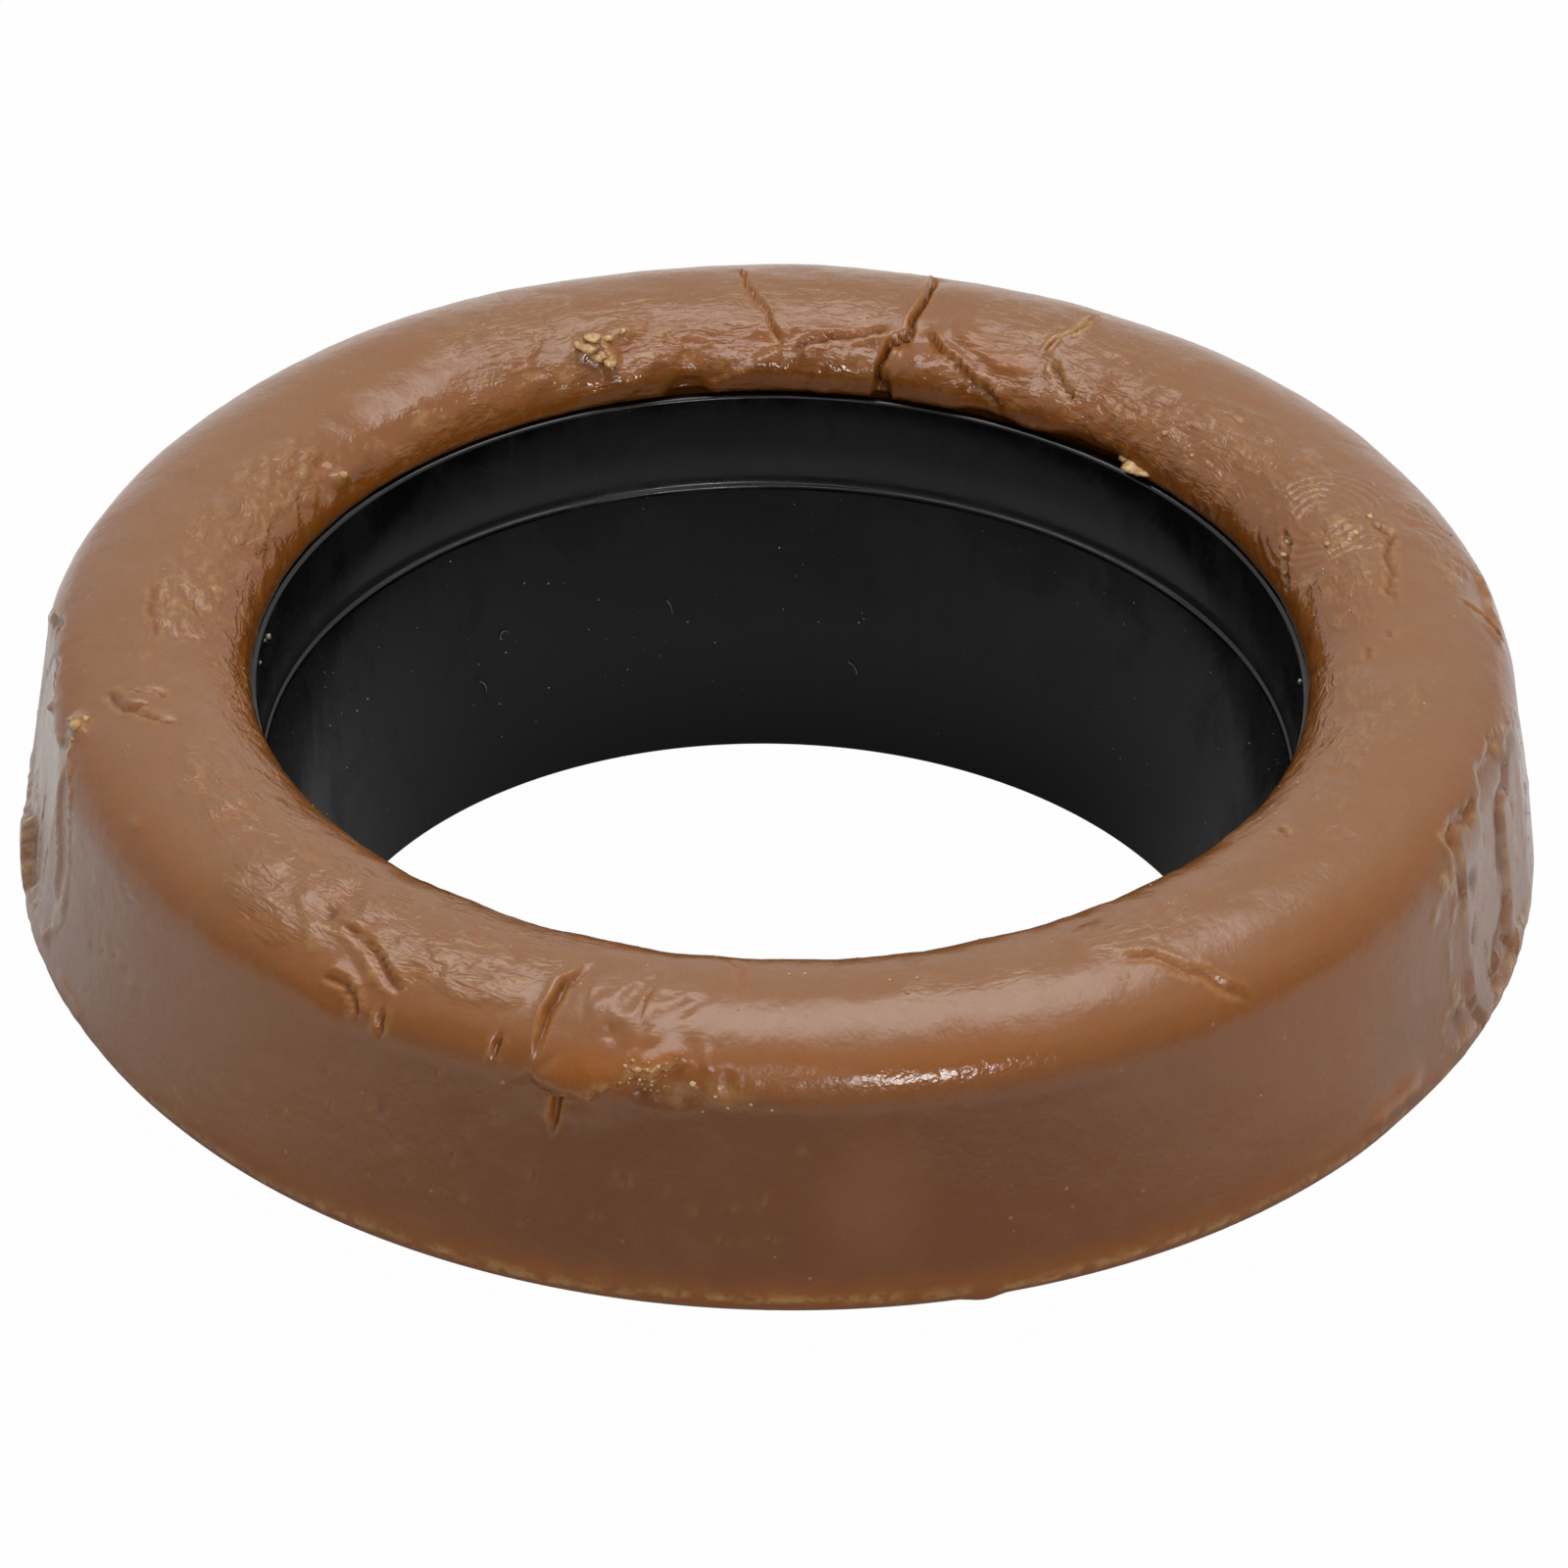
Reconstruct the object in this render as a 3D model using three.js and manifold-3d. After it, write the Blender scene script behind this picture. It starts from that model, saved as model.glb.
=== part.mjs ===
// Toilet pan seal: a slumped and cracked wax ring cast around a black plastic horn sleeve.
// Millimetres, +Z up. The origin is the centre of the sleeve's lower end, on which the part stands.
import * as THREE from 'three';
import { mergeVertices } from 'three/addons/utils/BufferGeometryUtils.js';
import Module from 'manifold-3d';

// Wax ring: its width from the sleeve outwards, its height and its section
const waxWidth = 19;
const waxHeight = 25.4;
const baseCornerRadius = 4.1;
const wallDraft = 2.4;
const crownRise = 3.9;
const crownRadius = 11.8;
const shoulderRound = 1.3;
const lipOverlap = 0.7;

// Horn sleeve: collar, ledge, buried flange and tapered horn
const hornReach = 14.5;
const hornTipRadius = 39.1;
const ledgeRadius = 42.8;
const ledgeHeight = 10.5;
const ledgeWidth = 0.6;
const ledgeRound = 0.5;
const coveHeight = 1.3;
const coveShare = 0.55;
const collarHeight = 8.9;
const collarWall = 1.1;
const hornWall = 1.5;
const flangeWidth = 10.5;
const flangeThickness = 1.5;
const rimRound = 0.3;

// Clearance between the wax and the sleeve, and fineness of the round forms
const waxGap = 0.3;
const roundSteps = 108;
const cornerSteps = 4;
const wallSteps = 6;
const shoulderSteps = 3;
const crownSteps = 7;
const lipSteps = 9;
const coveSteps = 3;

// Slump of the soft wax: slow waves round the ring, which lean as they climb the skin. The base edge
// and the lip's foot stay plain, and the shares say where along the skin the waves rise and fade.
const slumpWaves = [
  { laps: 3, lean: 4, height: 0.08 },
  { laps: 5, lean: -7, height: 0.08 },
  { laps: 8, lean: 11, height: 0.05 },
];
const slumpRise = [0.1, 0.3];
const slumpFade = [0.9, 1];

// Crack cutters: how far they stand over the skin, how full they are at their very ends, and how
// quickly they fill between
const cutterLift = 0.8;
const crackEndShare = 0.08;
const crackTaper = 0.6;
const stationsPerPoint = 2;

const fullTurn = Math.PI * 2;
const radians = THREE.MathUtils.degToRad;

// Heights above the sleeve's lower end
const waxBaseZ = hornReach;
const ledgeZ = waxBaseZ + ledgeHeight;
const rimZ = ledgeZ + collarHeight;

// Radii that follow from the sleeve's sizes
const collarRadius = ledgeRadius + ledgeWidth;
const collarOuterRadius = collarRadius + collarWall;
const flangeRadius = collarOuterRadius + flangeWidth;
const flangeUnderZ = ledgeZ - flangeThickness;
const hornTaper = (ledgeRadius - hornTipRadius) / ledgeZ;
const hornOuterRadius = (z) => hornTipRadius + hornWall + hornTaper * z;

// Dents and swellings in the wax skin. turn is degrees round the ring from +X, along is the share
// of the skin's length from the base edge (0) over the shoulder (0.52) and the crown's top (0.74)
// to the lip (1). reach gives the half widths in degrees and in share, raise is in millimetres.
const swellings = {
  leftScrape: { turn: 182, along: 0.35, reach: [20, 0.23], raise: -0.95 },
  leftCurl: { turn: -165, along: 0.59, reach: [5, 0.04], raise: 0.6 },
  leftCrownHollow: { turn: -172, along: 0.67, reach: [9, 0.05], raise: -0.3 },
  rightScrape: { turn: -18, along: 0.34, reach: [14, 0.2], raise: -0.8 },
  rightLowerScrape: { turn: -34, along: 0.2, reach: [10, 0.12], raise: -0.35 },
  rightTornEdge: { turn: 8, along: 0.58, reach: [6, 0.05], raise: -0.45 },
  rightCrumpledSkin: { turn: 26, along: 0.82, reach: [13, 0.09], raise: 0.3 },
  frontFlap: { turn: -103, along: 0.53, reach: [7, 0.05], raise: 0.55 },
  frontHollow: { turn: -96.5, along: 0.51, reach: [5, 0.06], raise: -0.5 },
  frontLeftCrumple: { turn: -124, along: 0.6, reach: [8, 0.06], raise: -0.3 },
  backLobeLeft: { turn: 96, along: 0.93, reach: [6, 0.07], raise: 0.7 },
  backLobeMiddle: { turn: 86, along: 0.94, reach: [6, 0.06], raise: 0.9 },
  backLobeRight: { turn: 72, along: 0.93, reach: [6, 0.06], raise: 0.75 },
  backLobeFar: { turn: 57, along: 0.94, reach: [6, 0.06], raise: 0.5 },
  backCrumb: { turn: 111, along: 0.89, reach: [4, 0.04], raise: 0.9 },
};

// Cracks, gouges and creases, each a tapering V cut along a path of [turn, along] points
const cracks = {
  frontCrack: {
    path: [[-105.2, 0.79], [-106.5, 0.735], [-107.5, 0.69], [-107.8, 0.62], [-107.8, 0.54], [-107.4, 0.5]],
    width: 1.2,
    depth: 1.9,
  },
  frontGouge: { path: [[-106.9, 0.495], [-105.9, 0.465], [-106.1, 0.4]], width: 1.3, depth: 1.3 },
  frontNick: { path: [[-110.8, 0.575], [-111, 0.545], [-111, 0.51]], width: 1, depth: 0.9 },
  frontRightCrease: {
    path: [[-61.5, 0.705], [-57.5, 0.678], [-55.5, 0.626], [-53.2, 0.571], [-50.8, 0.518]],
    width: 1,
    depth: 0.7,
  },
  frontLeftGroove: {
    path: [[-128, 0.666], [-124, 0.65], [-120.8, 0.6], [-118.5, 0.58]],
    width: 1,
    depth: 0.7,
  },
  leftFold: { path: [[-168.5, 0.65], [-165, 0.672], [-163.8, 0.7], [-160, 0.75]], width: 1.1, depth: 0.8 },
  rightGroove: { path: [[6, 0.65], [5.5, 0.6], [4.6, 0.55], [4, 0.52]], width: 1.1, depth: 0.8 },
  deepBackCrack: {
    path: [[76.8, 0.57], [76.5, 0.7], [77, 0.8], [76.9, 0.85], [78.8, 0.885], [79.6, 0.93]],
    width: 1.5,
    depth: 3.2,
  },
  backLeftCrack: {
    path: [[94.8, 0.6], [94.4, 0.68], [93.5, 0.77], [92, 0.83], [90.4, 0.9]],
    width: 0.9,
    depth: 1.9,
  },
  backWavyFold: {
    path: [[90, 0.905], [87.5, 0.896], [84.5, 0.885], [81.5, 0.869], [79, 0.862]],
    width: 0.9,
    depth: 1.4,
  },
  backRightFold: {
    path: [[75.8, 0.837], [74.3, 0.863], [72.2, 0.893], [69.5, 0.915], [66.5, 0.93]],
    width: 1.2,
    depth: 1.6,
  },
  raggedRightCrack: {
    path: [[61.3, 0.65], [60.9, 0.74], [62.2, 0.8], [61.6, 0.85], [59.5, 0.885], [57.5, 0.9]],
    width: 0.9,
    depth: 1.4,
  },
};

// Wax section, above the wax's own base: the wall leans in to the rounded shoulder, a round crown
// climbs from there to the top, and a quarter ellipse rolls down to the lip on the sleeve
const waxBaseRadius = collarOuterRadius + waxWidth;
const shoulderRadius = waxBaseRadius - wallDraft;
const shoulderHeight = waxHeight - crownRise;
const shoulderAngle = Math.asin((crownRadius - crownRise) / crownRadius);
const crownMidRadius = shoulderRadius - crownRadius * Math.cos(shoulderAngle);
const lipFootRadius = collarOuterRadius - lipOverlap;
const lipFootHeight = ledgeHeight + collarHeight + waxGap;

/** The wax skin in section, from the base edge up the side, over the crown and down to the lip. */
function makeWaxSkin() {
  const quarter = Math.PI / 2;
  const wallLean = Math.atan2(wallDraft, shoulderHeight - baseCornerRadius);
  const cornerMidRadius = waxBaseRadius - baseCornerRadius;
  const corner = new THREE.EllipseCurve(
    cornerMidRadius, baseCornerRadius, baseCornerRadius, baseCornerRadius, -quarter, wallLean);
  const crown = new THREE.EllipseCurve(
    crownMidRadius, waxHeight - crownRadius, crownRadius, crownRadius,
    shoulderAngle + shoulderRound / crownRadius, quarter);
  const peak = new THREE.Vector2(shoulderRadius, shoulderHeight);
  const climb = peak.clone().sub(corner.getPoint(1)).setLength(shoulderRound);
  const wall = new THREE.LineCurve(corner.getPoint(1), peak.clone().sub(climb));
  const shoulder = new THREE.QuadraticBezierCurve(wall.v2, peak, crown.getPoint(0));
  const lipReach = crownMidRadius - lipFootRadius;
  const lipDrop = waxHeight - lipFootHeight;
  const lip = new THREE.EllipseCurve(crownMidRadius, lipFootHeight, lipReach, lipDrop, quarter, Math.PI);
  return [
    ...corner.getPoints(cornerSteps),
    ...wall.getPoints(wallSteps).slice(1),
    ...shoulder.getPoints(shoulderSteps).slice(1),
    ...crown.getPoints(crownSteps).slice(1),
    ...lip.getPoints(lipSteps).slice(1),
  ];
}

const waxSkin = makeWaxSkin();
const skinLengths = waxSkin.reduce((sums, point, index) => {
  sums.push(index ? sums[index - 1] + point.distanceTo(waxSkin[index - 1]) : 0);
  return sums;
}, []);
const skinShares = skinLengths.map((length) => length / skinLengths.at(-1));

/** Point and outward direction of the plain section at a share of the skin's length. */
function sectionAt(along) {
  const next = Math.max(1, skinShares.findIndex((share) => share >= along - 1e-9));
  const share = (along - skinShares[next - 1]) / (skinShares[next] - skinShares[next - 1]);
  const point = waxSkin[next - 1].clone().lerp(waxSkin[next], share);
  const before = waxSkin[Math.max(0, next - 2)];
  const after = waxSkin[Math.min(waxSkin.length - 1, next + 1)];
  const run = after.clone().sub(before).normalize();
  return { point, out: new THREE.Vector2(run.y, -run.x) };
}

/** How far the skin stands off its plain section, in millimetres. */
function skinRaise(turn, along) {
  const lap = radians(turn);
  const held = THREE.MathUtils.smoothstep(along, ...slumpRise)
    * (1 - THREE.MathUtils.smoothstep(along, ...slumpFade));
  let raise = 0;
  for (const { laps, lean, height } of slumpWaves) {
    raise += held * height * Math.sin(laps * lap + lean * along);
  }
  for (const swelling of Object.values(swellings)) {
    const apart = THREE.MathUtils.euclideanModulo(turn - swelling.turn + 180, 360) - 180;
    const across = (apart / swelling.reach[0]) ** 2 + ((along - swelling.along) / swelling.reach[1]) ** 2;
    if (across < 1) raise += swelling.raise * (1 - across) ** 2;
  }
  return raise;
}

/** Point and outward normal on the wax skin, in the part's frame. */
function skinPoint(turn, along) {
  const { point, out } = sectionAt(along);
  const raise = skinRaise(turn, along);
  const lap = radians(turn);
  const radius = point.x + out.x * raise;
  return {
    position: new THREE.Vector3(
      radius * Math.cos(lap), radius * Math.sin(lap), waxBaseZ + point.y + out.y * raise),
    normal: new THREE.Vector3(out.x * Math.cos(lap), out.x * Math.sin(lap), out.y),
  };
}

/** A closed mesh from rings of points: each ring joins the next, and the last joins the first. */
function closeRings(rings) {
  const size = rings[0].length;
  const positions = rings.flat().flatMap((point) => point.toArray());
  const index = [];
  rings.forEach((ring, row) => {
    const next = (row + 1) % rings.length;
    ring.forEach((point, column) => {
      const beside = (column + 1) % size;
      const [a, b] = [row * size + column, row * size + beside];
      const [c, d] = [next * size + column, next * size + beside];
      index.push(a, c, b, b, c, d);
    });
  });
  const geometry = new THREE.BufferGeometry();
  geometry.setAttribute('position', new THREE.Float32BufferAttribute(positions, 3));
  geometry.setIndex(index);
  return geometry;
}

/** The wax ring before it cracked: the skin, the bore that fits the sleeve, and the flat base. */
function makeWaxBody() {
  const bore = [
    [collarOuterRadius + waxGap, lipFootHeight],
    [collarOuterRadius + waxGap, ledgeHeight + waxGap],
    [flangeRadius + waxGap, ledgeHeight + waxGap],
    [flangeRadius + waxGap, ledgeHeight - flangeThickness - waxGap],
    [hornOuterRadius(flangeUnderZ - waxGap) + waxGap, ledgeHeight - flangeThickness - waxGap],
    [hornOuterRadius(waxBaseZ) + waxGap, 0],
  ];
  const rings = [];
  for (let step = 0; step < roundSteps; step += 1) {
    const lap = (fullTurn * step) / roundSteps;
    const turn = THREE.MathUtils.radToDeg(lap);
    const skin = skinShares.map((share, place) => {
      const held = place === 0 || place === skinShares.length - 1;
      if (!held) return skinPoint(turn, share).position;
      const { x, y } = waxSkin[place];
      return new THREE.Vector3(x * Math.cos(lap), x * Math.sin(lap), waxBaseZ + y);
    });
    const inside = bore.map(([radius, height]) =>
      new THREE.Vector3(radius * Math.cos(lap), radius * Math.sin(lap), waxBaseZ + height));
    rings.push([...skin, ...inside]);
  }
  return closeRings(rings);
}

/** A V-shaped cutter that follows a crack's path and tapers to nothing at both ends. */
function makeCrackCutter({ path, width, depth }) {
  const route = new THREE.CatmullRomCurve3(path.map(([turn, along]) => new THREE.Vector3(turn, along, 0)));
  const stations = path.length * stationsPerPoint;
  const spots = [];
  for (let step = 0; step <= stations; step += 1) {
    const share = step / stations;
    const { x: turn, y: along } = route.getPoint(share);
    const swell = Math.sin(Math.PI * (crackEndShare + (1 - 2 * crackEndShare) * share));
    spots.push({ ...skinPoint(turn, along), fullness: swell ** crackTaper });
  }
  const positions = [];
  spots.forEach(({ position, normal, fullness }, step) => {
    const before = spots[Math.max(0, step - 1)].position;
    const after = spots[Math.min(stations, step + 1)].position;
    const side = new THREE.Vector3().subVectors(after, before).cross(normal).normalize();
    const half = (width / 2) * fullness * (1 + cutterLift / (depth * fullness));
    const top = position.clone().addScaledVector(normal, cutterLift);
    const bottom = position.clone().addScaledVector(normal, -depth * fullness);
    positions.push(...top.clone().addScaledVector(side, half).toArray());
    positions.push(...top.clone().addScaledVector(side, -half).toArray());
    positions.push(...bottom.toArray());
  });
  const index = [0, 1, 2];
  for (let step = 0; step < stations; step += 1) {
    for (let corner = 0; corner < 3; corner += 1) {
      const [a, b] = [step * 3 + corner, step * 3 + ((corner + 1) % 3)];
      index.push(a, a + 3, b, b, a + 3, b + 3);
    }
  }
  index.push(stations * 3, stations * 3 + 2, stations * 3 + 1);
  const geometry = new THREE.BufferGeometry();
  geometry.setAttribute('position', new THREE.Float32BufferAttribute(positions, 3));
  geometry.setIndex(index);
  return geometry;
}

/** Turns a closed geometry into a solid that can be cut. */
function toSolid(wasm, geometry) {
  const bare = geometry.clone();
  bare.deleteAttribute('normal');
  bare.deleteAttribute('uv');
  const merged = mergeVertices(bare);
  return new wasm.Manifold(new wasm.Mesh({
    numProp: 3,
    vertProperties: new Float32Array(merged.attributes.position.array),
    triVerts: new Uint32Array(merged.index.array),
  }));
}

/** Turns a solid back into a geometry. */
function toGeometry(solid) {
  const { vertProperties, triVerts } = solid.getMesh();
  const geometry = new THREE.BufferGeometry();
  geometry.setAttribute('position', new THREE.BufferAttribute(vertProperties, 3));
  geometry.setIndex(new THREE.BufferAttribute(triVerts, 1));
  geometry.computeVertexNormals();
  return geometry;
}

/** The sleeve as one revolved section: collar, cove, ledge, tapered horn and the flange in the wax. */
function makeSleeveGeometry() {
  const coveWidth = ledgeWidth * coveShare;
  const cove = new THREE.EllipseCurve(
    collarRadius - coveWidth, ledgeZ + coveHeight, coveWidth, coveHeight, 0, -Math.PI / 2, true);
  const section = [
    [collarRadius + rimRound, rimZ],
    [collarRadius, rimZ - rimRound],
    ...cove.getPoints(coveSteps).map((point) => point.toArray()),
    [ledgeRadius, ledgeZ - ledgeRound],
    [hornTipRadius + hornTaper * rimRound, rimRound],
    [hornTipRadius + rimRound, 0],
    [hornOuterRadius(0) - rimRound, 0],
    [hornOuterRadius(rimRound), rimRound],
    [hornOuterRadius(flangeUnderZ), flangeUnderZ],
    [flangeRadius, flangeUnderZ],
    [flangeRadius, ledgeZ],
    [collarOuterRadius, ledgeZ],
    [collarOuterRadius, rimZ - rimRound],
    [collarOuterRadius - rimRound, rimZ],
  ];
  const points = [...section, section[0]].map(([radius, z]) => new THREE.Vector2(radius, z));
  return new THREE.LatheGeometry(points, roundSteps).rotateX(Math.PI / 2);
}

const waxMaterial = new THREE.MeshStandardMaterial({ color: 0x9c6a48, roughness: 0.42, metalness: 0 });
const sleeveMaterial = new THREE.MeshStandardMaterial({ color: 0x101113, roughness: 0.22, metalness: 0 });

const wasm = await Module();
wasm.setup();

const cutters = Object.values(cracks).map((crack) => toSolid(wasm, makeCrackCutter(crack)));
const crackedWax = cutters.reduce((wax, cutter) => wax.subtract(cutter), toSolid(wasm, makeWaxBody()));

const panSeal = new THREE.Group();

const waxRing = new THREE.Mesh(toGeometry(crackedWax), waxMaterial);
waxRing.name = 'wax_ring';
panSeal.add(waxRing);

const hornSleeve = new THREE.Mesh(makeSleeveGeometry(), sleeveMaterial);
hornSleeve.name = 'horn_sleeve';
panSeal.add(hornSleeve);

export default panSeal;
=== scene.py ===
"""Looks of a toilet pan seal: a slumped and cracked wax ring around a glossy black horn sleeve."""

import logging
import math
from dataclasses import dataclass, field
from enum import Enum, IntEnum
from functools import partialmethod
from itertools import pairwise, product
from typing import Protocol

import bmesh
import bpy
import numpy as np
from mathutils import Matrix, Vector

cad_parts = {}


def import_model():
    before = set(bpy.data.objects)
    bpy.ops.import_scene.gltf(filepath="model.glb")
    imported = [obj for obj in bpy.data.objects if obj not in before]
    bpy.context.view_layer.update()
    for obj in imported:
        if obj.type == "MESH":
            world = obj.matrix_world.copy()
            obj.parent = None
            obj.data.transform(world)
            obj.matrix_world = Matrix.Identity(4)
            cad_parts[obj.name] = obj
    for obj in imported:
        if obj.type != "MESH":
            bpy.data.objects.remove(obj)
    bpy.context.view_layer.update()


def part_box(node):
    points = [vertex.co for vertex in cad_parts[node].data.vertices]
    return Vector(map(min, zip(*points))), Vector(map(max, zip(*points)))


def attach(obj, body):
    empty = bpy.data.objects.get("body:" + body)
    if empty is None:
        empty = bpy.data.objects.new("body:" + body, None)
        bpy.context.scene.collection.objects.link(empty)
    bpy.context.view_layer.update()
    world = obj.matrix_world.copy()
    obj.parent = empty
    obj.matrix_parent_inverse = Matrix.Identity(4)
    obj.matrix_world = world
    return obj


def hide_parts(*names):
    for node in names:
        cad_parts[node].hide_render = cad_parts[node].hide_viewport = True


MM = 0.001
FULL_TURN = 2 * math.pi
UNROLLED = "unrolled"
UNROLLED_RADIUS = 50  # of the tube that the skin's fibres lie on, in millimetres
DEGREE_LENGTH = 0.9  # of one degree round the crown, in millimetres
INNER_RADIUS = 40  # less than the skin has anywhere, in millimetres
SAME_PLACE = 1e-7  # metres
WAVER = 0.17  # how far the marks waver, in millimetres
WAVER_SIZE = 2.6
SEED_MASK = 1023
SMALL_LUMP = 0.25  # a crumb below this radius in millimetres gets fewer faces
LUMP_SCATTER = 9000
SCRATCHES = 26
EVERYWHERE = slice(None)
MIX_INPUTS = (0, 6, 7)  # factor and two colours
MIX_OUTPUT = 2
WHITE = (1.0, 1.0, 1.0, 1.0)
Pair = tuple[float, float]
Route = tuple[Pair, ...]
Triple = tuple[float, float, float]
Colour = Triple
log = logging.getLogger("pan_seal")


class Slot(Enum):
    """The record's material slots."""

    WAX = "brown_wax"
    PLASTIC = "black_plastic"


class Seed(IntEnum):
    """Starting numbers of the fixed noises and of the random draws."""

    FLASH = 5
    CRUMBS = 8
    WAVER = 11
    GRAINS = 12
    SCRATCHES = 17
    SLUMP = 21
    CRUMB_SHAPES = 31
    GRAIN_SHAPES = 32
    FACET_BORDER = 71
    FACET_TEARS = 72


class Zone(Enum):
    """Where something sets in along the section, in millimetres from the base edge."""

    WAVES = (3.0, 10.0)
    SHADE = (4.0, 8.0)
    BLOOM = (25.5, 29.5)
    GRAIN = (28.0, 34.0)
    HANDLING = (30.0, 33.0)
    STREAKS = (38.5, 41.5)
    GLOSS = (38.5, 42.5)
    SCUFFS = (39.0, 41.5)
    STAINS = (40.2, 43.0)
    THIN_WAX = (40.5, 44.8)
    CALM = (41.0, 45.0)
    PAINTED_LIP_SHADE = (41.5, 45.2)


class Tint(Enum):
    """Shares painted on the wax skin, each kept as an attribute of the mesh."""

    BLOOM = "bloom"
    AMBER = "amber"
    PALE = "pale"
    SCRAPED = "scraped"
    GRIME_AND_SHADE = "grime"
    WET = "wet"
    CREASED = "creased"
    SHADED = "shaded"


def from_srgb(red: int, green: int, blue: int) -> Colour:
    """Linear colour of a screen colour from 0 to 255, by the sRGB curve."""
    shares = np.array([red, green, blue]) / 255
    curve = ((shares + 0.055) / 1.055) ** 2.4
    return tuple(np.where(shares <= 0.04045, shares / 12.92, curve).tolist())


def fade(value: np.ndarray, low: float, high: float) -> np.ndarray:
    """Smooth share of the way from low (0) to high (1)."""
    share = np.clip((value - low) / (high - low), 0, 1)
    return share * share * (3 - 2 * share)


def bell(value: np.ndarray) -> np.ndarray:
    """1 at 0, falling off smoothly on both sides."""
    return np.exp(-(value**2))


def turned(degrees: np.ndarray) -> np.ndarray:
    """Degrees brought to the half turn on either side of 0."""
    return (degrees + 180) % 360 - 180


def leaned(east: np.ndarray, north: np.ndarray, degrees: float) -> tuple[np.ndarray, np.ndarray]:
    """Places measured along axes that lean by some degrees."""
    lean = math.radians(degrees)
    right = east * math.cos(lean) + north * math.sin(lean)
    return right, north * math.cos(lean) - east * math.sin(lean)


class Cloud:
    """Smooth seeded noise through space, from about -1 to 1."""

    CELLS = 256
    SHIFT = 37.0
    SPREAD = 1.6

    def __init__(self, seed: int) -> None:
        """Draws the lattice of slopes.

        Args:
            seed: any whole number; the same seed gives the same noise.
        """
        generator = np.random.default_rng(seed)
        self.order = generator.permutation(self.CELLS)
        slopes = generator.normal(size=(self.CELLS, 3))
        self.slopes = slopes / np.linalg.norm(slopes, axis=1, keepdims=True)

    def at(self, points: np.ndarray, size: float) -> np.ndarray:
        """Noise at points.

        Args:
            points: one row of three coordinates for each point.
            size: the width of one hump, in the points' unit.

        Returns:
            One value for each point.
        """
        spots = points / size
        cell = np.floor(spots).astype(int)
        part = spots - cell
        blend = part**3 * (part * (part * 6 - 15) + 10)
        total = np.zeros(len(points))
        last = self.CELLS - 1
        for corner in product((0, 1), repeat=3):
            at = (cell + corner) & last
            key = self.order[(self.order[at[:, 0]] + at[:, 1]) & last]
            key = self.order[(key + at[:, 2]) & last]
            reach = part - corner
            weight = np.prod(np.where(corner, blend, 1 - blend), axis=1)
            total += weight * np.einsum("ij,ij->i", self.slopes[key], reach)
        return total * self.SPREAD

    def layered(self, points: np.ndarray, size: float, layers: int = 3) -> np.ndarray:
        """Noise summed over layers, each half as wide and half as high as the last."""
        return sum(self.at(points + self.SHIFT * layer, size / 2**layer) / 2**layer
                   for layer in range(layers))


@dataclass
class Trail:
    """Where some points of the skin lie beside a route: distance, side and share along it."""

    which: np.ndarray
    apart: np.ndarray
    side: np.ndarray
    share: np.ndarray

    def fullness(self, ends: float) -> np.ndarray:
        """How full a groove is along its route, fading over a share of it at both ends."""
        return fade(self.share, 0, ends) * fade(1 - self.share, 0, ends)


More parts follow.
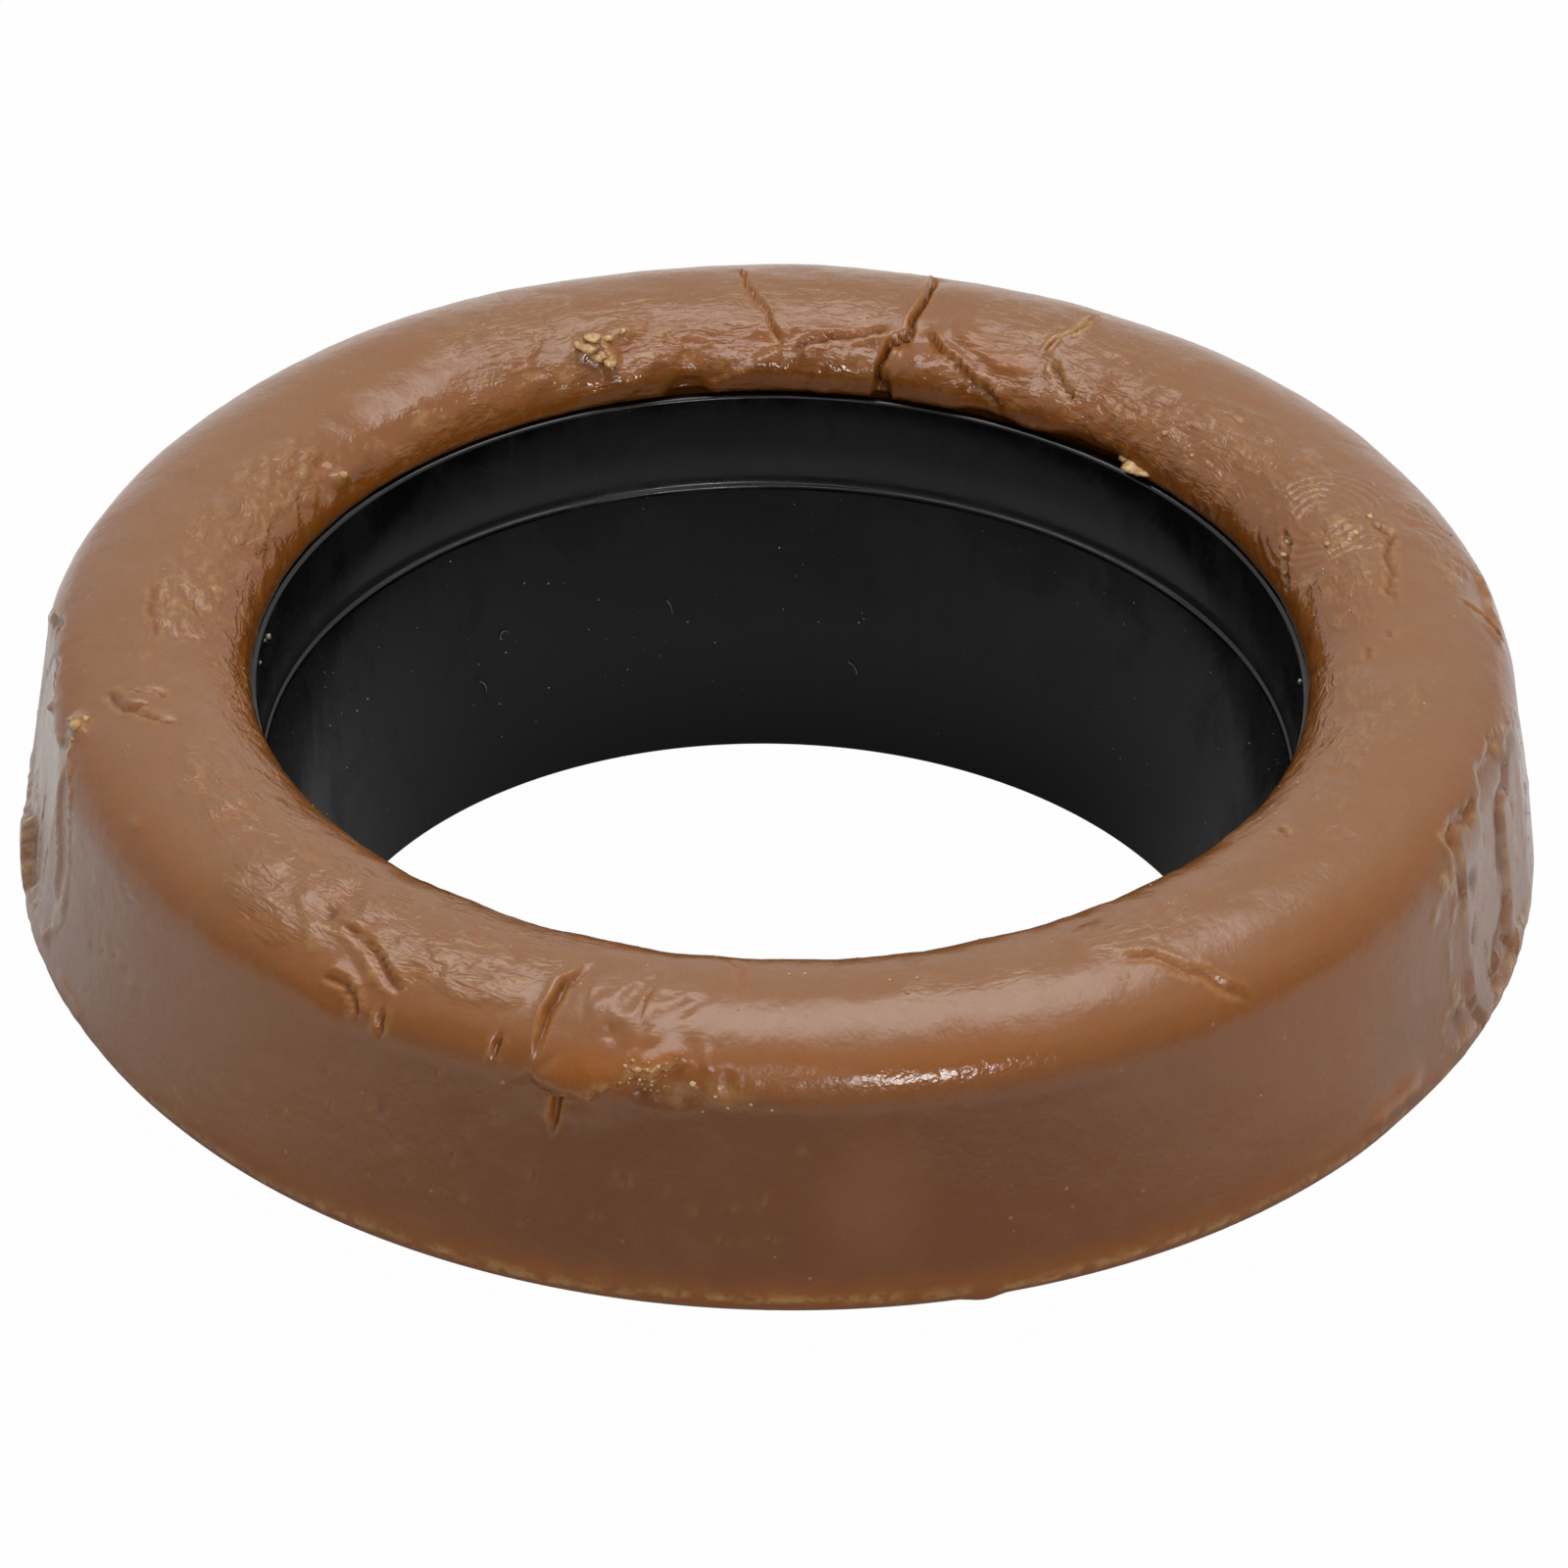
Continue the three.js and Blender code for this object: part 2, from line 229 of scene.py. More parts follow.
class Skin:
    """The wax skin as points: degrees round the ring, millimetres along the section, and its relief."""

    def __init__(self, turn: np.ndarray, along: np.ndarray, radius: np.ndarray,
                 points: np.ndarray) -> None:
        """Starts with a bare skin.

        Args:
            turn: degrees round the ring from +X.
            along: millimetres along the section from the base edge.
            radius: distance from the axis in millimetres.
            points: places in millimetres, for noise.
        """
        waver = Cloud(Seed.WAVER)
        self.degree = np.radians(1) * radius
        self.turn = turn + WAVER * waver.layered(points, WAVER_SIZE, 2) / self.degree
        self.along = along + WAVER * waver.layered(points + 90, WAVER_SIZE, 2)
        self.points = points
        self.lift = np.zeros(len(turn))
        self.slide = np.zeros(len(turn))
        self.tints = {tint: np.zeros(len(turn)) for tint in Tint}

    def offset(self, turn: float, along: float) -> tuple[np.ndarray, np.ndarray]:
        """Millimetres round the ring and along the section from a place."""
        return turned(self.turn - turn) * self.degree, self.along - along

    def into(self, zone: Zone, drift: np.ndarray | float = 0.0) -> np.ndarray:
        """How far each point has come into a zone, from 0 to 1."""
        return fade(self.along + drift, *zone.value)

    def follow(self, route: Route, reach: float) -> Trail:
        """Finds the points within reach of a route.

        Args:
            route: places as degrees round the ring and millimetres along the section.
            reach: how far aside to look, in millimetres.

        Returns:
            The trail of those points.
        """
        turns = [place[0] for place in route]
        alongs = [place[1] for place in route]
        middle = (min(turns) + max(turns)) / 2
        span = (max(turns) - min(turns)) / 2
        margin = np.degrees(reach / INNER_RADIUS)
        near = np.abs(turned(self.turn - middle)) < span + margin
        near &= (self.along > min(alongs) - reach) & (self.along < max(alongs) + reach)
        which = np.flatnonzero(near)
        apart = np.full(len(which), np.inf)
        side = np.ones(len(which))
        share = np.zeros(len(which))
        degree = self.degree[which]
        steps = [math.hypot((end[0] - start[0]) * DEGREE_LENGTH, end[1] - start[1])
                 for start, end in pairwise(route)]
        gone = 0.0
        for (start, end), step in zip(pairwise(route), steps):
            east = turned(self.turn[which] - start[0]) * degree
            north = self.along[which] - start[1]
            step_east = (end[0] - start[0]) * degree
            step_north = end[1] - start[1]
            place = (east * step_east + north * step_north) / (step_east**2 + step_north**2)
            place = np.clip(place, 0, 1)
            off_east = east - place * step_east
            off_north = north - place * step_north
            distance = np.hypot(off_east, off_north)
            closer = distance < apart
            apart = np.where(closer, distance, apart)
            hand = np.sign(step_east * off_north - step_north * off_east)
            side = np.where(closer, hand, side)
            share = np.where(closer, (gone + place * step) / sum(steps), share)
            gone += step
        kept = apart < reach
        return Trail(which[kept], apart[kept], side[kept], share[kept])

    def paint(self, which: np.ndarray | slice, **amounts: np.ndarray) -> None:
        """Brings tints, called by their values, up to amounts at some points."""
        for name, amount in amounts.items():
            tint = self.tints[Tint(name)]
            tint[which] = np.maximum(tint[which], np.clip(amount, 0, 1))

    def store(self, mesh: bpy.types.Mesh, shown: np.ndarray) -> None:
        """Keeps the tints and the unrolled places on the mesh.

        Args:
            mesh: the mesh that the skin is part of.
            shown: which of its corners the skin has.
        """
        for tint, amount in self.tints.items():
            values = np.zeros(len(mesh.vertices))
            values[shown] = amount
            mesh.attributes.new(tint.value, "FLOAT", "POINT").data.foreach_set("value", values)
        tube = np.zeros((len(mesh.vertices), 3))
        around = np.radians(self.turn)
        tube[shown] = np.column_stack([UNROLLED_RADIUS * np.cos(around),
                                       UNROLLED_RADIUS * np.sin(around), self.along])
        unrolled = mesh.attributes.new(UNROLLED, "FLOAT_VECTOR", "POINT")
        unrolled.data.foreach_set("vector", tube.ravel())


class Mark(Protocol):
    """Anything that leaves a mark in the wax skin."""

    def press(self, skin: Skin) -> None:
        """Adds the mark's relief and tints to the skin."""


@dataclass(frozen=True)
class Crack:
    """A split with raised lips; bank lifts the skin on the left of its route over the right."""

    route: Route
    width: float = 0.8
    depth: float = 1.2
    lip: float = 0.1
    bank: float = 0.0
    amber: float = 0.7
    pale: float = 0.3
    grime: float = 0.5
    ends: float = 0.15

    def press(self, skin: Skin) -> None:
        """Adds the mark's relief and tints to the skin."""
        trail = skin.follow(self.route, self.width + 2.5)
        full = trail.fullness(self.ends)
        half = self.width / 2 * (0.35 + 0.65 * full)
        inside = np.clip(1 - trail.apart / half, 0, 1)
        beside = bell((trail.apart - half * 1.25) / 0.3)
        bank = self.bank * trail.side * np.exp(-trail.apart / 1.1) * (1 - inside)
        skin.lift[trail.which] += full * (self.lip * beside + bank - self.depth * inside**0.8)
        # The darkening inside the split is painted shade of its depth.
        skin.paint(trail.which, amber=self.amber * full * bell(trail.apart / (half + 0.15)),
                   grime=self.grime * full * fade(inside, 0.15, 0.7), pale=self.pale * full * beside)


@dataclass(frozen=True)
class Ridge:
    """A raised line of wax; sharp makes its right side steeper than its left."""

    route: Route
    width: float = 0.6
    height: float = 0.3
    sharp: float = 0.5
    pale: float = 0.4
    amber: float = 0.0
    ends: float = 0.25

    def press(self, skin: Skin) -> None:
        """Adds the mark's relief and tints to the skin."""
        trail = skin.follow(self.route, self.width * 3)
        width = self.width * np.where(trail.side > 0, 1 + self.sharp, 1 - self.sharp / 2)
        crest = trail.fullness(self.ends) * bell(trail.apart / width)
        skin.lift[trail.which] += self.height * crest
        skin.paint(trail.which, pale=self.pale * crest**2, amber=self.amber * crest)


@dataclass(frozen=True)
class Edge:
    """The torn edge of a skin that hangs over what lies on the right of its route."""

    route: Route
    height: float = 0.5
    reach: float = 2.0
    overhang: float = 0.4
    amber: float = 0.6
    pale: float = 0.4
    ends: float = 0.12

    def press(self, skin: Skin) -> None:
        """Adds the mark's relief and tints to the skin."""
        trail = skin.follow(self.route, self.reach * 2.5)
        full = trail.fullness(self.ends)
        signed = trail.apart * trail.side
        over = fade(signed, -0.18, 0.18) * bell(np.maximum(signed, 0) / self.reach)
        under = fade(-signed, -0.18, 0.18) * bell(np.maximum(-signed, 0) / self.reach)
        skin.lift[trail.which] += full * self.height * (0.6 * over - 0.4 * under)
        skin.slide[trail.which] -= full * self.overhang * over * np.exp(-trail.apart / 0.5)
        skin.paint(trail.which, pale=self.pale * full * bell((signed - 0.15) / 0.3),
                   amber=self.amber * full * np.exp(-np.abs(signed) / 0.7))


@dataclass(frozen=True)
class Swelling:
    """A soft lump, or a dent where its height is negative."""

    turn: float
    along: float
    reach: Pair
    height: float
    lean: float = 0.0
    pale: float = 0.0
    amber: float = 0.0
    grime: float = 0.0
    rough: float = 0.0
    wet: float = 0.0
    bloom: float = 0.0

    def press(self, skin: Skin) -> None:
        """Adds the mark's relief and tints to the skin."""
        east, north = skin.offset(self.turn, self.along)
        right, up = leaned(east, north, self.lean)
        away = (right / self.reach[0]) ** 2 + (up / self.reach[1]) ** 2
        which = np.flatnonzero(away < 1)
        body = (1 - away[which]) ** 2
        knobs = Cloud(int(self.turn * 10) & SEED_MASK).layered(skin.points[which], 1.3)
        skin.lift[which] += self.height * body + self.rough * knobs * np.sqrt(body)
        skin.paint(which, pale=self.pale * body, amber=self.amber * body, grime=self.grime * body,
                   wet=self.wet * body, bloom=self.bloom * body)


@dataclass(frozen=True)
class Facet:
    """A flat scraped across the bulge of the ring, with a torn border."""

    turn: float
    low: float
    high: float
    cut: float
    half_turn: float
    rough: float = 0.1
    scraped: float = 1.0
    torn: float = 1.0
    corners: float = 2.6

    def press(self, skin: Skin) -> None:
        """Adds the mark's relief and tints to the skin."""
        east, _ = skin.offset(self.turn, 0)
        radius = skin.degree / np.radians(1)
        across = np.abs(east) / (self.half_turn * skin.degree)
        up = np.abs(2 * skin.along - self.low - self.high) / (self.high - self.low)
        border = Cloud(Seed.FACET_BORDER).layered(skin.points, 7.0) * 2.6
        outward = (across**self.corners + up**self.corners) ** (1 / self.corners)
        inside = fade(9 * (1 - outward) + border, -0.4, 0.7)
        flat = radius * (1 / np.cos(np.clip(east / radius, -1, 1)) - 1) - self.cut
        grain = Cloud(Seed.FACET_TEARS)
        tears = 1 - np.abs(grain.layered(skin.points * (1, 1, 0.45), 1.6))
        torn = grain.layered(skin.points * (1, 1, 0.4), 7.5, 2)
        pits = self.torn * bell((torn - 0.16) / 0.035)
        stays = self.torn * fade(torn, 0.15, 0.19)
        sunk = np.minimum(flat, 0) - self.rough * (1.8 * pits - 1.6 * stays)
        depth = inside * fade(-flat, -0.1, 0.2)
        skin.lift += depth * (sunk - skin.lift)
        crests = self.torn * bell((torn - 0.24) / 0.04) * fade(tears, 0.5, 0.8)
        skin.paint(EVERYWHERE, scraped=self.scraped * depth * (1 - pits), amber=depth * pits,
                   grime=0.45 * depth * pits**2, pale=depth * crests)
        brink = inside * (1 - inside) * 4
        skin.lift += 0.34 * brink * (tears - 0.4)
        skin.paint(EVERYWHERE, pale=1.3 * brink * fade(tears, 0.45, 0.75), wet=0.5 * brink)


@dataclass(frozen=True)
class Wrinkles:
    """A patch of fine parallel folds with painted highlights on their crests; lean is their run, in
    degrees from the way round the ring.
    """

    turn: float
    along: float
    reach: Pair
    lean: float = 90.0
    pitch: float = 1.5
    length: float = 5.0
    height: float = 0.16
    pale: float = 0.5
    amber: float = 0.3
    creased: float = 1.0

    def press(self, skin: Skin) -> None:
        """Adds the mark's relief and tints to the skin."""
        east, north = skin.offset(self.turn, self.along)
        inside = 1 - (east / self.reach[0]) ** 2 - (north / self.reach[1]) ** 2
        which = np.flatnonzero(inside > 0)
        run, across = leaned(east[which], north[which], self.lean)
        cloud = Cloud(int(self.turn * 7 + self.along) & SEED_MASK)
        flat = np.column_stack([run / self.length, across / self.pitch, np.zeros(len(which))])
        folds = 1 - 2 * np.abs(cloud.layered(flat, 1.0, 2))
        patchy = fade(cloud.layered(skin.points[which], 5.0, 2) + 1.1 * inside[which], 0.25, 0.8)
        skin.lift[which] += self.height * patchy * (folds - 0.45)
        middle = np.clip(inside[which] * 2, 0, 1)
        # Pale on the fold crests is a painted highlight.
        skin.paint(which, creased=self.creased * middle * (0.4 + 0.6 * patchy),
                   pale=self.pale * patchy * fade(folds, 0.7, 1.0),
                   amber=self.amber * patchy * fade(-folds, -0.3, 0.3))


@dataclass
class RingSection:
    """The wax ring's section in millimetres, above the wax's own base."""

    base_radius: float
    height: float = 25.4
    corner: float = 4.1
    draft: float = 2.4
    crown_rise: float = 3.9
    crown_radius: float = 11.8
    lip_radius: float = 43.8
    lip_height: float = 19.7
    shoulder_round: float = 2.3
    points: np.ndarray = field(init=False)
    lengths: np.ndarray = field(init=False)

    def __post_init__(self) -> None:
        """Draws the skin as arcs and lines, from the base edge to the lip."""
        shoulder = (self.base_radius - self.draft, self.height - self.crown_rise)
        start = math.asin((self.crown_radius - self.crown_rise) / self.crown_radius)
        crown = (shoulder[0] - self.crown_radius * math.cos(start), self.height - self.crown_radius)
        lean = math.atan2(self.draft, shoulder[1] - self.corner)
        quarter = math.pi / 2
        foot = (self.base_radius - self.corner, self.corner)
        lip = (crown[0], self.lip_height)
        lip_reach = (crown[0] - self.lip_radius, self.height - self.lip_height)
        wall = self.arc(foot, (self.corner, self.corner), -quarter, lean)
        top = np.vstack([
            self.arc(crown, (self.crown_radius, self.crown_radius), start, quarter),
            self.arc(lip, lip_reach, quarter, math.pi),
        ])
        self.points = self.joined(wall, top, np.array(shoulder))
        steps = np.linalg.norm(np.diff(self.points, axis=0), axis=1)
        self.lengths = np.concatenate([[0], np.cumsum(steps)])

    @staticmethod
    def arc(middle: tuple, reach: tuple, start: float, end: float, steps: int = 200) -> np.ndarray:
        """Points on a stretch of an ellipse."""
        angles = np.linspace(start, end, steps)
        return np.array(middle) + np.array(reach) * np.column_stack([np.cos(angles), np.sin(angles)])

    def joined(self, wall: np.ndarray, top: np.ndarray, corner: np.ndarray) -> np.ndarray:
        """The wall and the top, joined by a soft curve in place of their corner.

        Args:
            wall: the section up to the end of the foot's round.
            top: the section from the corner to the lip.
            corner: radius and height of the corner.

        Returns:
            The whole section, as points.
        """
        climb = corner - wall[-1]
        start = corner - climb * (self.shoulder_round / np.linalg.norm(climb))
        top = top[np.linalg.norm(top - corner, axis=1) > self.shoulder_round]
        share = np.linspace(0, 1, 40)[:, None]
        bend = (1 - share) ** 2 * start + 2 * share * (1 - share) * corner + share**2 * top[0]
        return np.vstack([wall, bend[:-1], top])

    def at(self, along: np.ndarray) -> np.ndarray:
        """Radius and height at places along the skin."""
        columns = [np.interp(along, self.lengths, self.points[:, axis]) for axis in (0, 1)]
        return np.column_stack(columns)

    def run(self, along: np.ndarray) -> np.ndarray:
        """Direction of the skin at places along it, as a unit vector of radius and height."""
        step = 0.2
        ahead = self.at(np.minimum(along + step, self.lengths[-1]))
        run = ahead - self.at(np.maximum(along - step, 0))
        return run / np.linalg.norm(run, axis=1, keepdims=True)


def link_mesh(name: str, shape: bmesh.types.BMesh) -> bpy.types.Object:
    """Turns a finished mesh into an object at the origin."""
    bmesh.ops.recalc_face_normals(shape, faces=shape.faces)
    mesh = bpy.data.meshes.new(name)
    shape.to_mesh(mesh)
    shape.free()
    mesh.shade_smooth()
    piece = bpy.data.objects.new(name, mesh)
    bpy.context.scene.collection.objects.link(piece)
    return piece


def spin_section(name: str, section: list[Pair], steps: int, cuts: int = 0) -> bpy.types.Object:
    """Spins a closed section round the axis.

    Args:
        name: the new object's name.
        section: radius and height of each corner, in metres.
        steps: how many faces go round.
        cuts: how many times each of those faces is cut across.

    Returns:
        The object, at the origin.
    """
    shape = bmesh.new()
    corners = [shape.verts.new((radius, 0, height)) for radius, height in section]
    edges = [shape.edges.new(pair) for pair in pairwise([*corners, corners[0]])]
    bmesh.ops.spin(shape, geom=[*corners, *edges], axis=(0, 0, 1), cent=(0, 0, 0),
                   angle=FULL_TURN, steps=steps, use_merge=True)
    bmesh.ops.remove_doubles(shape, verts=shape.verts, dist=1e-6)
    if cuts:
        hoops = []
        for edge in shape.edges:
            start, end = (corner.co for corner in edge.verts)
            if abs(start.z - end.z) < SAME_PLACE and abs(start.xy.length - end.xy.length) < SAME_PLACE:
                hoops.append(edge)
        bmesh.ops.subdivide_edges(shape, edges=hoops, cuts=cuts, use_grid_fill=True)
    return link_mesh(name, shape)


def seat(piece: bpy.types.Object, slot: Slot, material: bpy.types.Material, *nodes: str) -> None:
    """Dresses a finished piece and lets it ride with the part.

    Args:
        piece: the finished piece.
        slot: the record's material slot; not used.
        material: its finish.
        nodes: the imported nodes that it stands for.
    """
    piece.data.materials.clear()
    piece.data.materials.append(material)
    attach(piece, "root")
    if nodes:
        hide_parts(*nodes)
    triangles = sum(len(face.vertices) - 2 for face in piece.data.polygons)
    log.info("%s: %d triangles", piece.name, triangles)


class Signal:
    """A shader value that operators combine into Math nodes; | takes the larger of two."""

    def __init__(self, board: "Board", socket: bpy.types.NodeSocket) -> None:
        """Keeps the socket and the board that it is on."""
        self.board = board
        self.socket = socket

    def math(self, operation: str, *others: "Signal | float", swap: bool = False) -> "Signal":
        """The result of a Math node on this value and others."""
        inputs = [self, *others]
        if swap:
            inputs.reverse()
        return self.board.node("ShaderNodeMath", {"operation": operation}, dict(enumerate(inputs)))

    __add__ = __radd__ = partialmethod(math, "ADD")
    __mul__ = __rmul__ = partialmethod(math, "MULTIPLY")
    __sub__ = partialmethod(math, "SUBTRACT")
    __rsub__ = partialmethod(math, "SUBTRACT", swap=True)
    __or__ = partialmethod(math, "MAXIMUM")

    def over(self, low: float, high: float) -> "Signal":
        """Smooth share of the way from low (0) to high (1)."""
        settings = {"interpolation_type": "SMOOTHSTEP"}
        return self.board.node("ShaderNodeMapRange", settings, {0: self, 1: low, 2: high})


class Board:
    """The node tree of one material or of the world."""

    def __init__(self, owner: bpy.types.Material | bpy.types.World) -> None:
        """Clears the owner's nodes."""
        owner.use_nodes = True
        self.tree = owner.node_tree
        self.tree.nodes.clear()

    def node(self, kind: str, settings: dict, values: dict, output: int | str = 0) -> Signal:
        """Adds a node.

        Args:
            kind: the node's type.
            settings: its own properties, set first.
            values: numbers, colours or signals for its input sockets.
            output: the output socket to hand back.

        Returns:
            The signal of that output.
        """
        made = self.tree.nodes.new(kind)
        for name, value in settings.items():
            setattr(made, name, value)
        for key, value in values.items():
            if isinstance(value, Signal):
                self.tree.links.new(value.socket, made.inputs[key])
            else:
                made.inputs[key].default_value = value
        return Signal(self, made.outputs[output])

    def metres(self) -> Signal:
        """Object coordinates as they are."""
        return self.node("ShaderNodeTexCoord", {}, {}, "Object")

    def millimetres(self) -> Signal:
        """Object coordinates in millimetres."""
        scale = (1 / MM, 1 / MM, 1 / MM)
        return self.node("ShaderNodeMapping", {}, {"Vector": self.metres(), "Scale": scale})

    def vector(self, operation: str, place: Signal, other: Triple, output: str = "Value") -> Signal:
        """The result of a Vector Math node on a place and three numbers."""
        return self.node("ShaderNodeVectorMath", {"operation": operation}, {0: place, 1: other}, output)

    def stretched(self, place: Signal, factors: Triple) -> Signal:
        """A place with its coordinates multiplied."""
        return self.vector("MULTIPLY", place, factors, "Vector")

    def scattered(self, place: Signal, scale: float) -> Signal:
        """Distance to the nearest of many points scattered through space."""
        values = {"Vector": place, "Scale": scale}
        return self.node("ShaderNodeTexVoronoi", {"feature": "F1"}, values, "Distance")

    def unrolled(self) -> Signal:
        """Places on the wax skin as if on a tube; Z is the distance along the section."""
        return self.node("ShaderNodeAttribute", {"attribute_name": UNROLLED}, {}, "Vector")

    def noise(self, place: Signal, size: float, detail: float = 3.0, rough: float = 0.5,
              bend: float = 0.0) -> Signal:
        """Noise with humps of a size in millimetres."""
        values = {"Vector": place, "Scale": 1 / size, "Detail": detail, "Roughness": rough,
                  "Distortion": bend}
        return self.node("ShaderNodeTexNoise", {}, values, "Fac")

    def tint(self, tint: Tint) -> Signal:
        """A share painted on the mesh."""
        return self.node("ShaderNodeAttribute", {"attribute_name": tint.value}, {}, "Fac")

    def mixed(self, share: Signal | float, first: Signal | Colour, second: Signal | Colour) -> Signal:
        """A colour between two others."""
        ends = [end if isinstance(end, Signal) else (*end, 1.0) for end in (first, second)]
        values = dict(zip(MIX_INPUTS, (share, *ends)))
        return self.node("ShaderNodeMix", {"data_type": "RGBA"}, values, MIX_OUTPUT)

    def bump(self, height: Signal, distance: float = 1.0) -> Signal:
        """A surface normal from a height; distance is the height of 1 in millimetres."""
        values = {"Height": height, "Distance": distance * MM, "Strength": 1.0}
        return self.node("ShaderNodeBump", {}, values)

    def finish(self, shader: Signal, kind: str = "ShaderNodeOutputMaterial") -> None:
        """Links a shader to the output."""
        made = self.tree.nodes.new(kind)
        self.tree.links.new(shader.socket, made.inputs["Surface"])


@dataclass(frozen=True)
class WaxFinish:
    """Caramel wax with a satin sheen, amber where it is thin or torn, pale where it is scuffed; painted
    shade, glow, sheen and highlights are mixed into its colour.
    """

    body: Colour = from_srgb(154, 97, 50)
    warm: Colour = from_srgb(157, 95, 42)
    # Paler tone of the painted sheen, used on the crown top and in a painted reflection patch on the
    # near wall.
    bloom: Colour = from_srgb(159, 108, 66)
    dull: Colour = from_srgb(144, 99, 62)
    # Orange of thin or torn wax, also used for the painted glow at the foot and the painted shade band
    # on the near shoulder.
    amber: Colour = from_srgb(172, 98, 22)
    pale: Colour = from_srgb(200, 156, 98)
    scraped: Colour = from_srgb(152, 114, 84)
    # Dark brown of real grime and stains, also painted as shade in cracks, in the gaps under the back
    # lobes and where the lip meets the sleeve.
    grime: Colour = from_srgb(92, 46, 14)
    shaded: Colour = from_srgb(125, 75, 39)
    sheen: float = 0.26
    glow: float = 0.25
    glow_reach: Triple = (1.5, 0.9, 0.45)
    whorl: Triple = (45.6, 17.4, 38.6)

    def make(self) -> bpy.types.Material:
        """Builds the material.

        Returns:
            The wax material, which reads the tints of the wax skin.
        """
        material = bpy.data.materials.new(Slot.WAX.value)
        board = Board(material)
        place = board.millimetres()
        broad = board.noise(place, 26, 1, 0.5, 0.4)
        middle = board.noise(place, 6, 3, 0.55, 0.6)
        fine = board.noise(place, 1.1, 2.5, 0.6)
        grain = board.noise(place, 0.35, 1.5, 0.6)
        bloom, amber, pale, scraped, grime, wet, creased, shaded = map(board.tint, Tint)
        fibres = board.noise(board.stretched(board.unrolled(), (0.34, 0.34, 1)), 0.85, 2.5, 0.55, 0.9)
        # Pale on the crests of the fine strokes is a painted highlight.
        crest = fibres.over(0.52, 0.78) * creased
        away = board.vector("DISTANCE", place, self.whorl)
        arcs = (away * 7.5 + 7 * middle).math("SINE") * away.over(1.2, 2.4) * (1 - away.over(5, 7.5))
        specks = (1 - board.scattered(place, 0.42).over(0.05, 0.085)) * middle.over(0.42, 0.6)
        # Pale: real scuffs and specks, and the painted highlights on the stroke crests.
        scuffs_and_highlights = pale * fine.over(0.35, 0.6) * 0.8 | crest * 0.42 | specks * 0.6
        colour = board.mixed(broad.over(0.4, 0.62), self.body, self.warm)
        colour = board.mixed(shaded * 0.9, colour, self.shaded)
        # Painted sheen: the crown top is made paler, standing in for the reflection of the overhead
        # light.
        colour = board.mixed(bloom * (0.7 + 0.6 * middle), colour, self.bloom)
        colour = board.mixed(middle.over(0.5, 0.8) * 0.4, colour, self.dull)
        colour = board.mixed(amber * (0.55 + 0.6 * middle), colour, self.amber)
        colour = board.mixed(scraped * fine.over(0.0, 0.6), colour, self.scraped)
        colour = board.mixed(scuffs_and_highlights, colour, self.pale)
        # Grime, and painted shade in recesses and gaps.
        colour = board.mixed(grime, colour, self.grime)
        rough = self.sheen + 0.12 * (middle - 0.5) + 0.16 * (fine - 0.5) + 0.05 * scraped - 0.19 * wet
        height = (0.07 + 0.16 * wet) * middle + (0.05 + 0.07 * wet + 0.04 * creased) * fine
        height = height + (0.014 + 0.02 * wet) * grain + fibres * creased * 0.26 + arcs * 0.026
        reach = tuple(value * MM for value in self.glow_reach)
        values = {"Base Color": colour, "Roughness": rough, "Normal": board.bump(height), "IOR": 1.5,
                  "Subsurface Weight": self.glow, "Subsurface Radius": reach, "Subsurface Scale": 1.0}
        board.finish(board.node("ShaderNodeBsdfPrincipled", {}, values))
        return material


@dataclass(frozen=True)
class CrumbFinish:
    """Small loose matter: one colour with a mottled second one."""

    name: str
    body: Colour
    mottle: Colour
    gloss: float = 0.35

    def make(self) -> bpy.types.Material:
        """Builds the material.

        Returns:
            The crumbs' material.
        """
        material = bpy.data.materials.new(self.name)
        board = Board(material)
        place = board.millimetres()
        patches = board.noise(place, 0.6, 3, 0.6)
        colour = board.mixed(patches.over(0.4, 0.6), self.body, self.mottle)
        values = {"Base Color": colour, "Roughness": self.gloss + 0.2 * (patches - 0.5),
                  "Normal": board.bump(patches, 0.05)}
        board.finish(board.node("ShaderNodeBsdfPrincipled", {}, values))
        return material


@dataclass(frozen=True)
class PlasticFinish:
    """Glossy black moulded plastic with hazy patches, fine scratches and dust, and a painted light band
    above the ledge.
    """

    body: Colour = (0.0021, 0.0021, 0.002)
    # Grey of the dust, also used for the painted light band above the ledge.
    dust: Colour = (0.03, 0.03, 0.03)
    gloss: float = 0.14

    def make(self) -> bpy.types.Material:
        """Builds the material.

        Returns:
            The black plastic.
        """
        material = bpy.data.materials.new(Slot.PLASTIC.value)
        board = Board(material)
        place = board.millimetres()
        haze = board.noise(place, 12, 4, 0.6, 0.8)
        smears = board.noise(board.stretched(place, (1, 1, 0.35)), 5, 5, 0.65, 1.5)
        dusty = (1 - board.scattered(place, 0.55).over(0.03, 0.055)) * haze.over(0.45, 0.6)
        level = board.node("ShaderNodeSeparateXYZ", {}, {0: place}, "Z")
        # Painted light: a grey band over the cove above the ledge stands in for the lit cove.
        painted_cove_light = level.over(24.8, 25.4) * (1 - level.over(26.4, 29.5)) * 0.6
        colour = board.mixed(dusty | painted_cove_light, self.body, self.dust)
        hazy, smeared = haze.over(0.45, 0.7), smears.over(0.45, 0.7)
        rough = self.gloss + 0.2 * hazy + 0.12 * smeared + 0.4 * dusty
        height = 0.05 * haze + 0.014 * smears + 0.02 * dusty
        values = {"Base Color": colour, "Roughness": rough, "Normal": board.bump(height), "IOR": 1.48}
        board.finish(board.node("ShaderNodeBsdfPrincipled", {}, values))
        return material


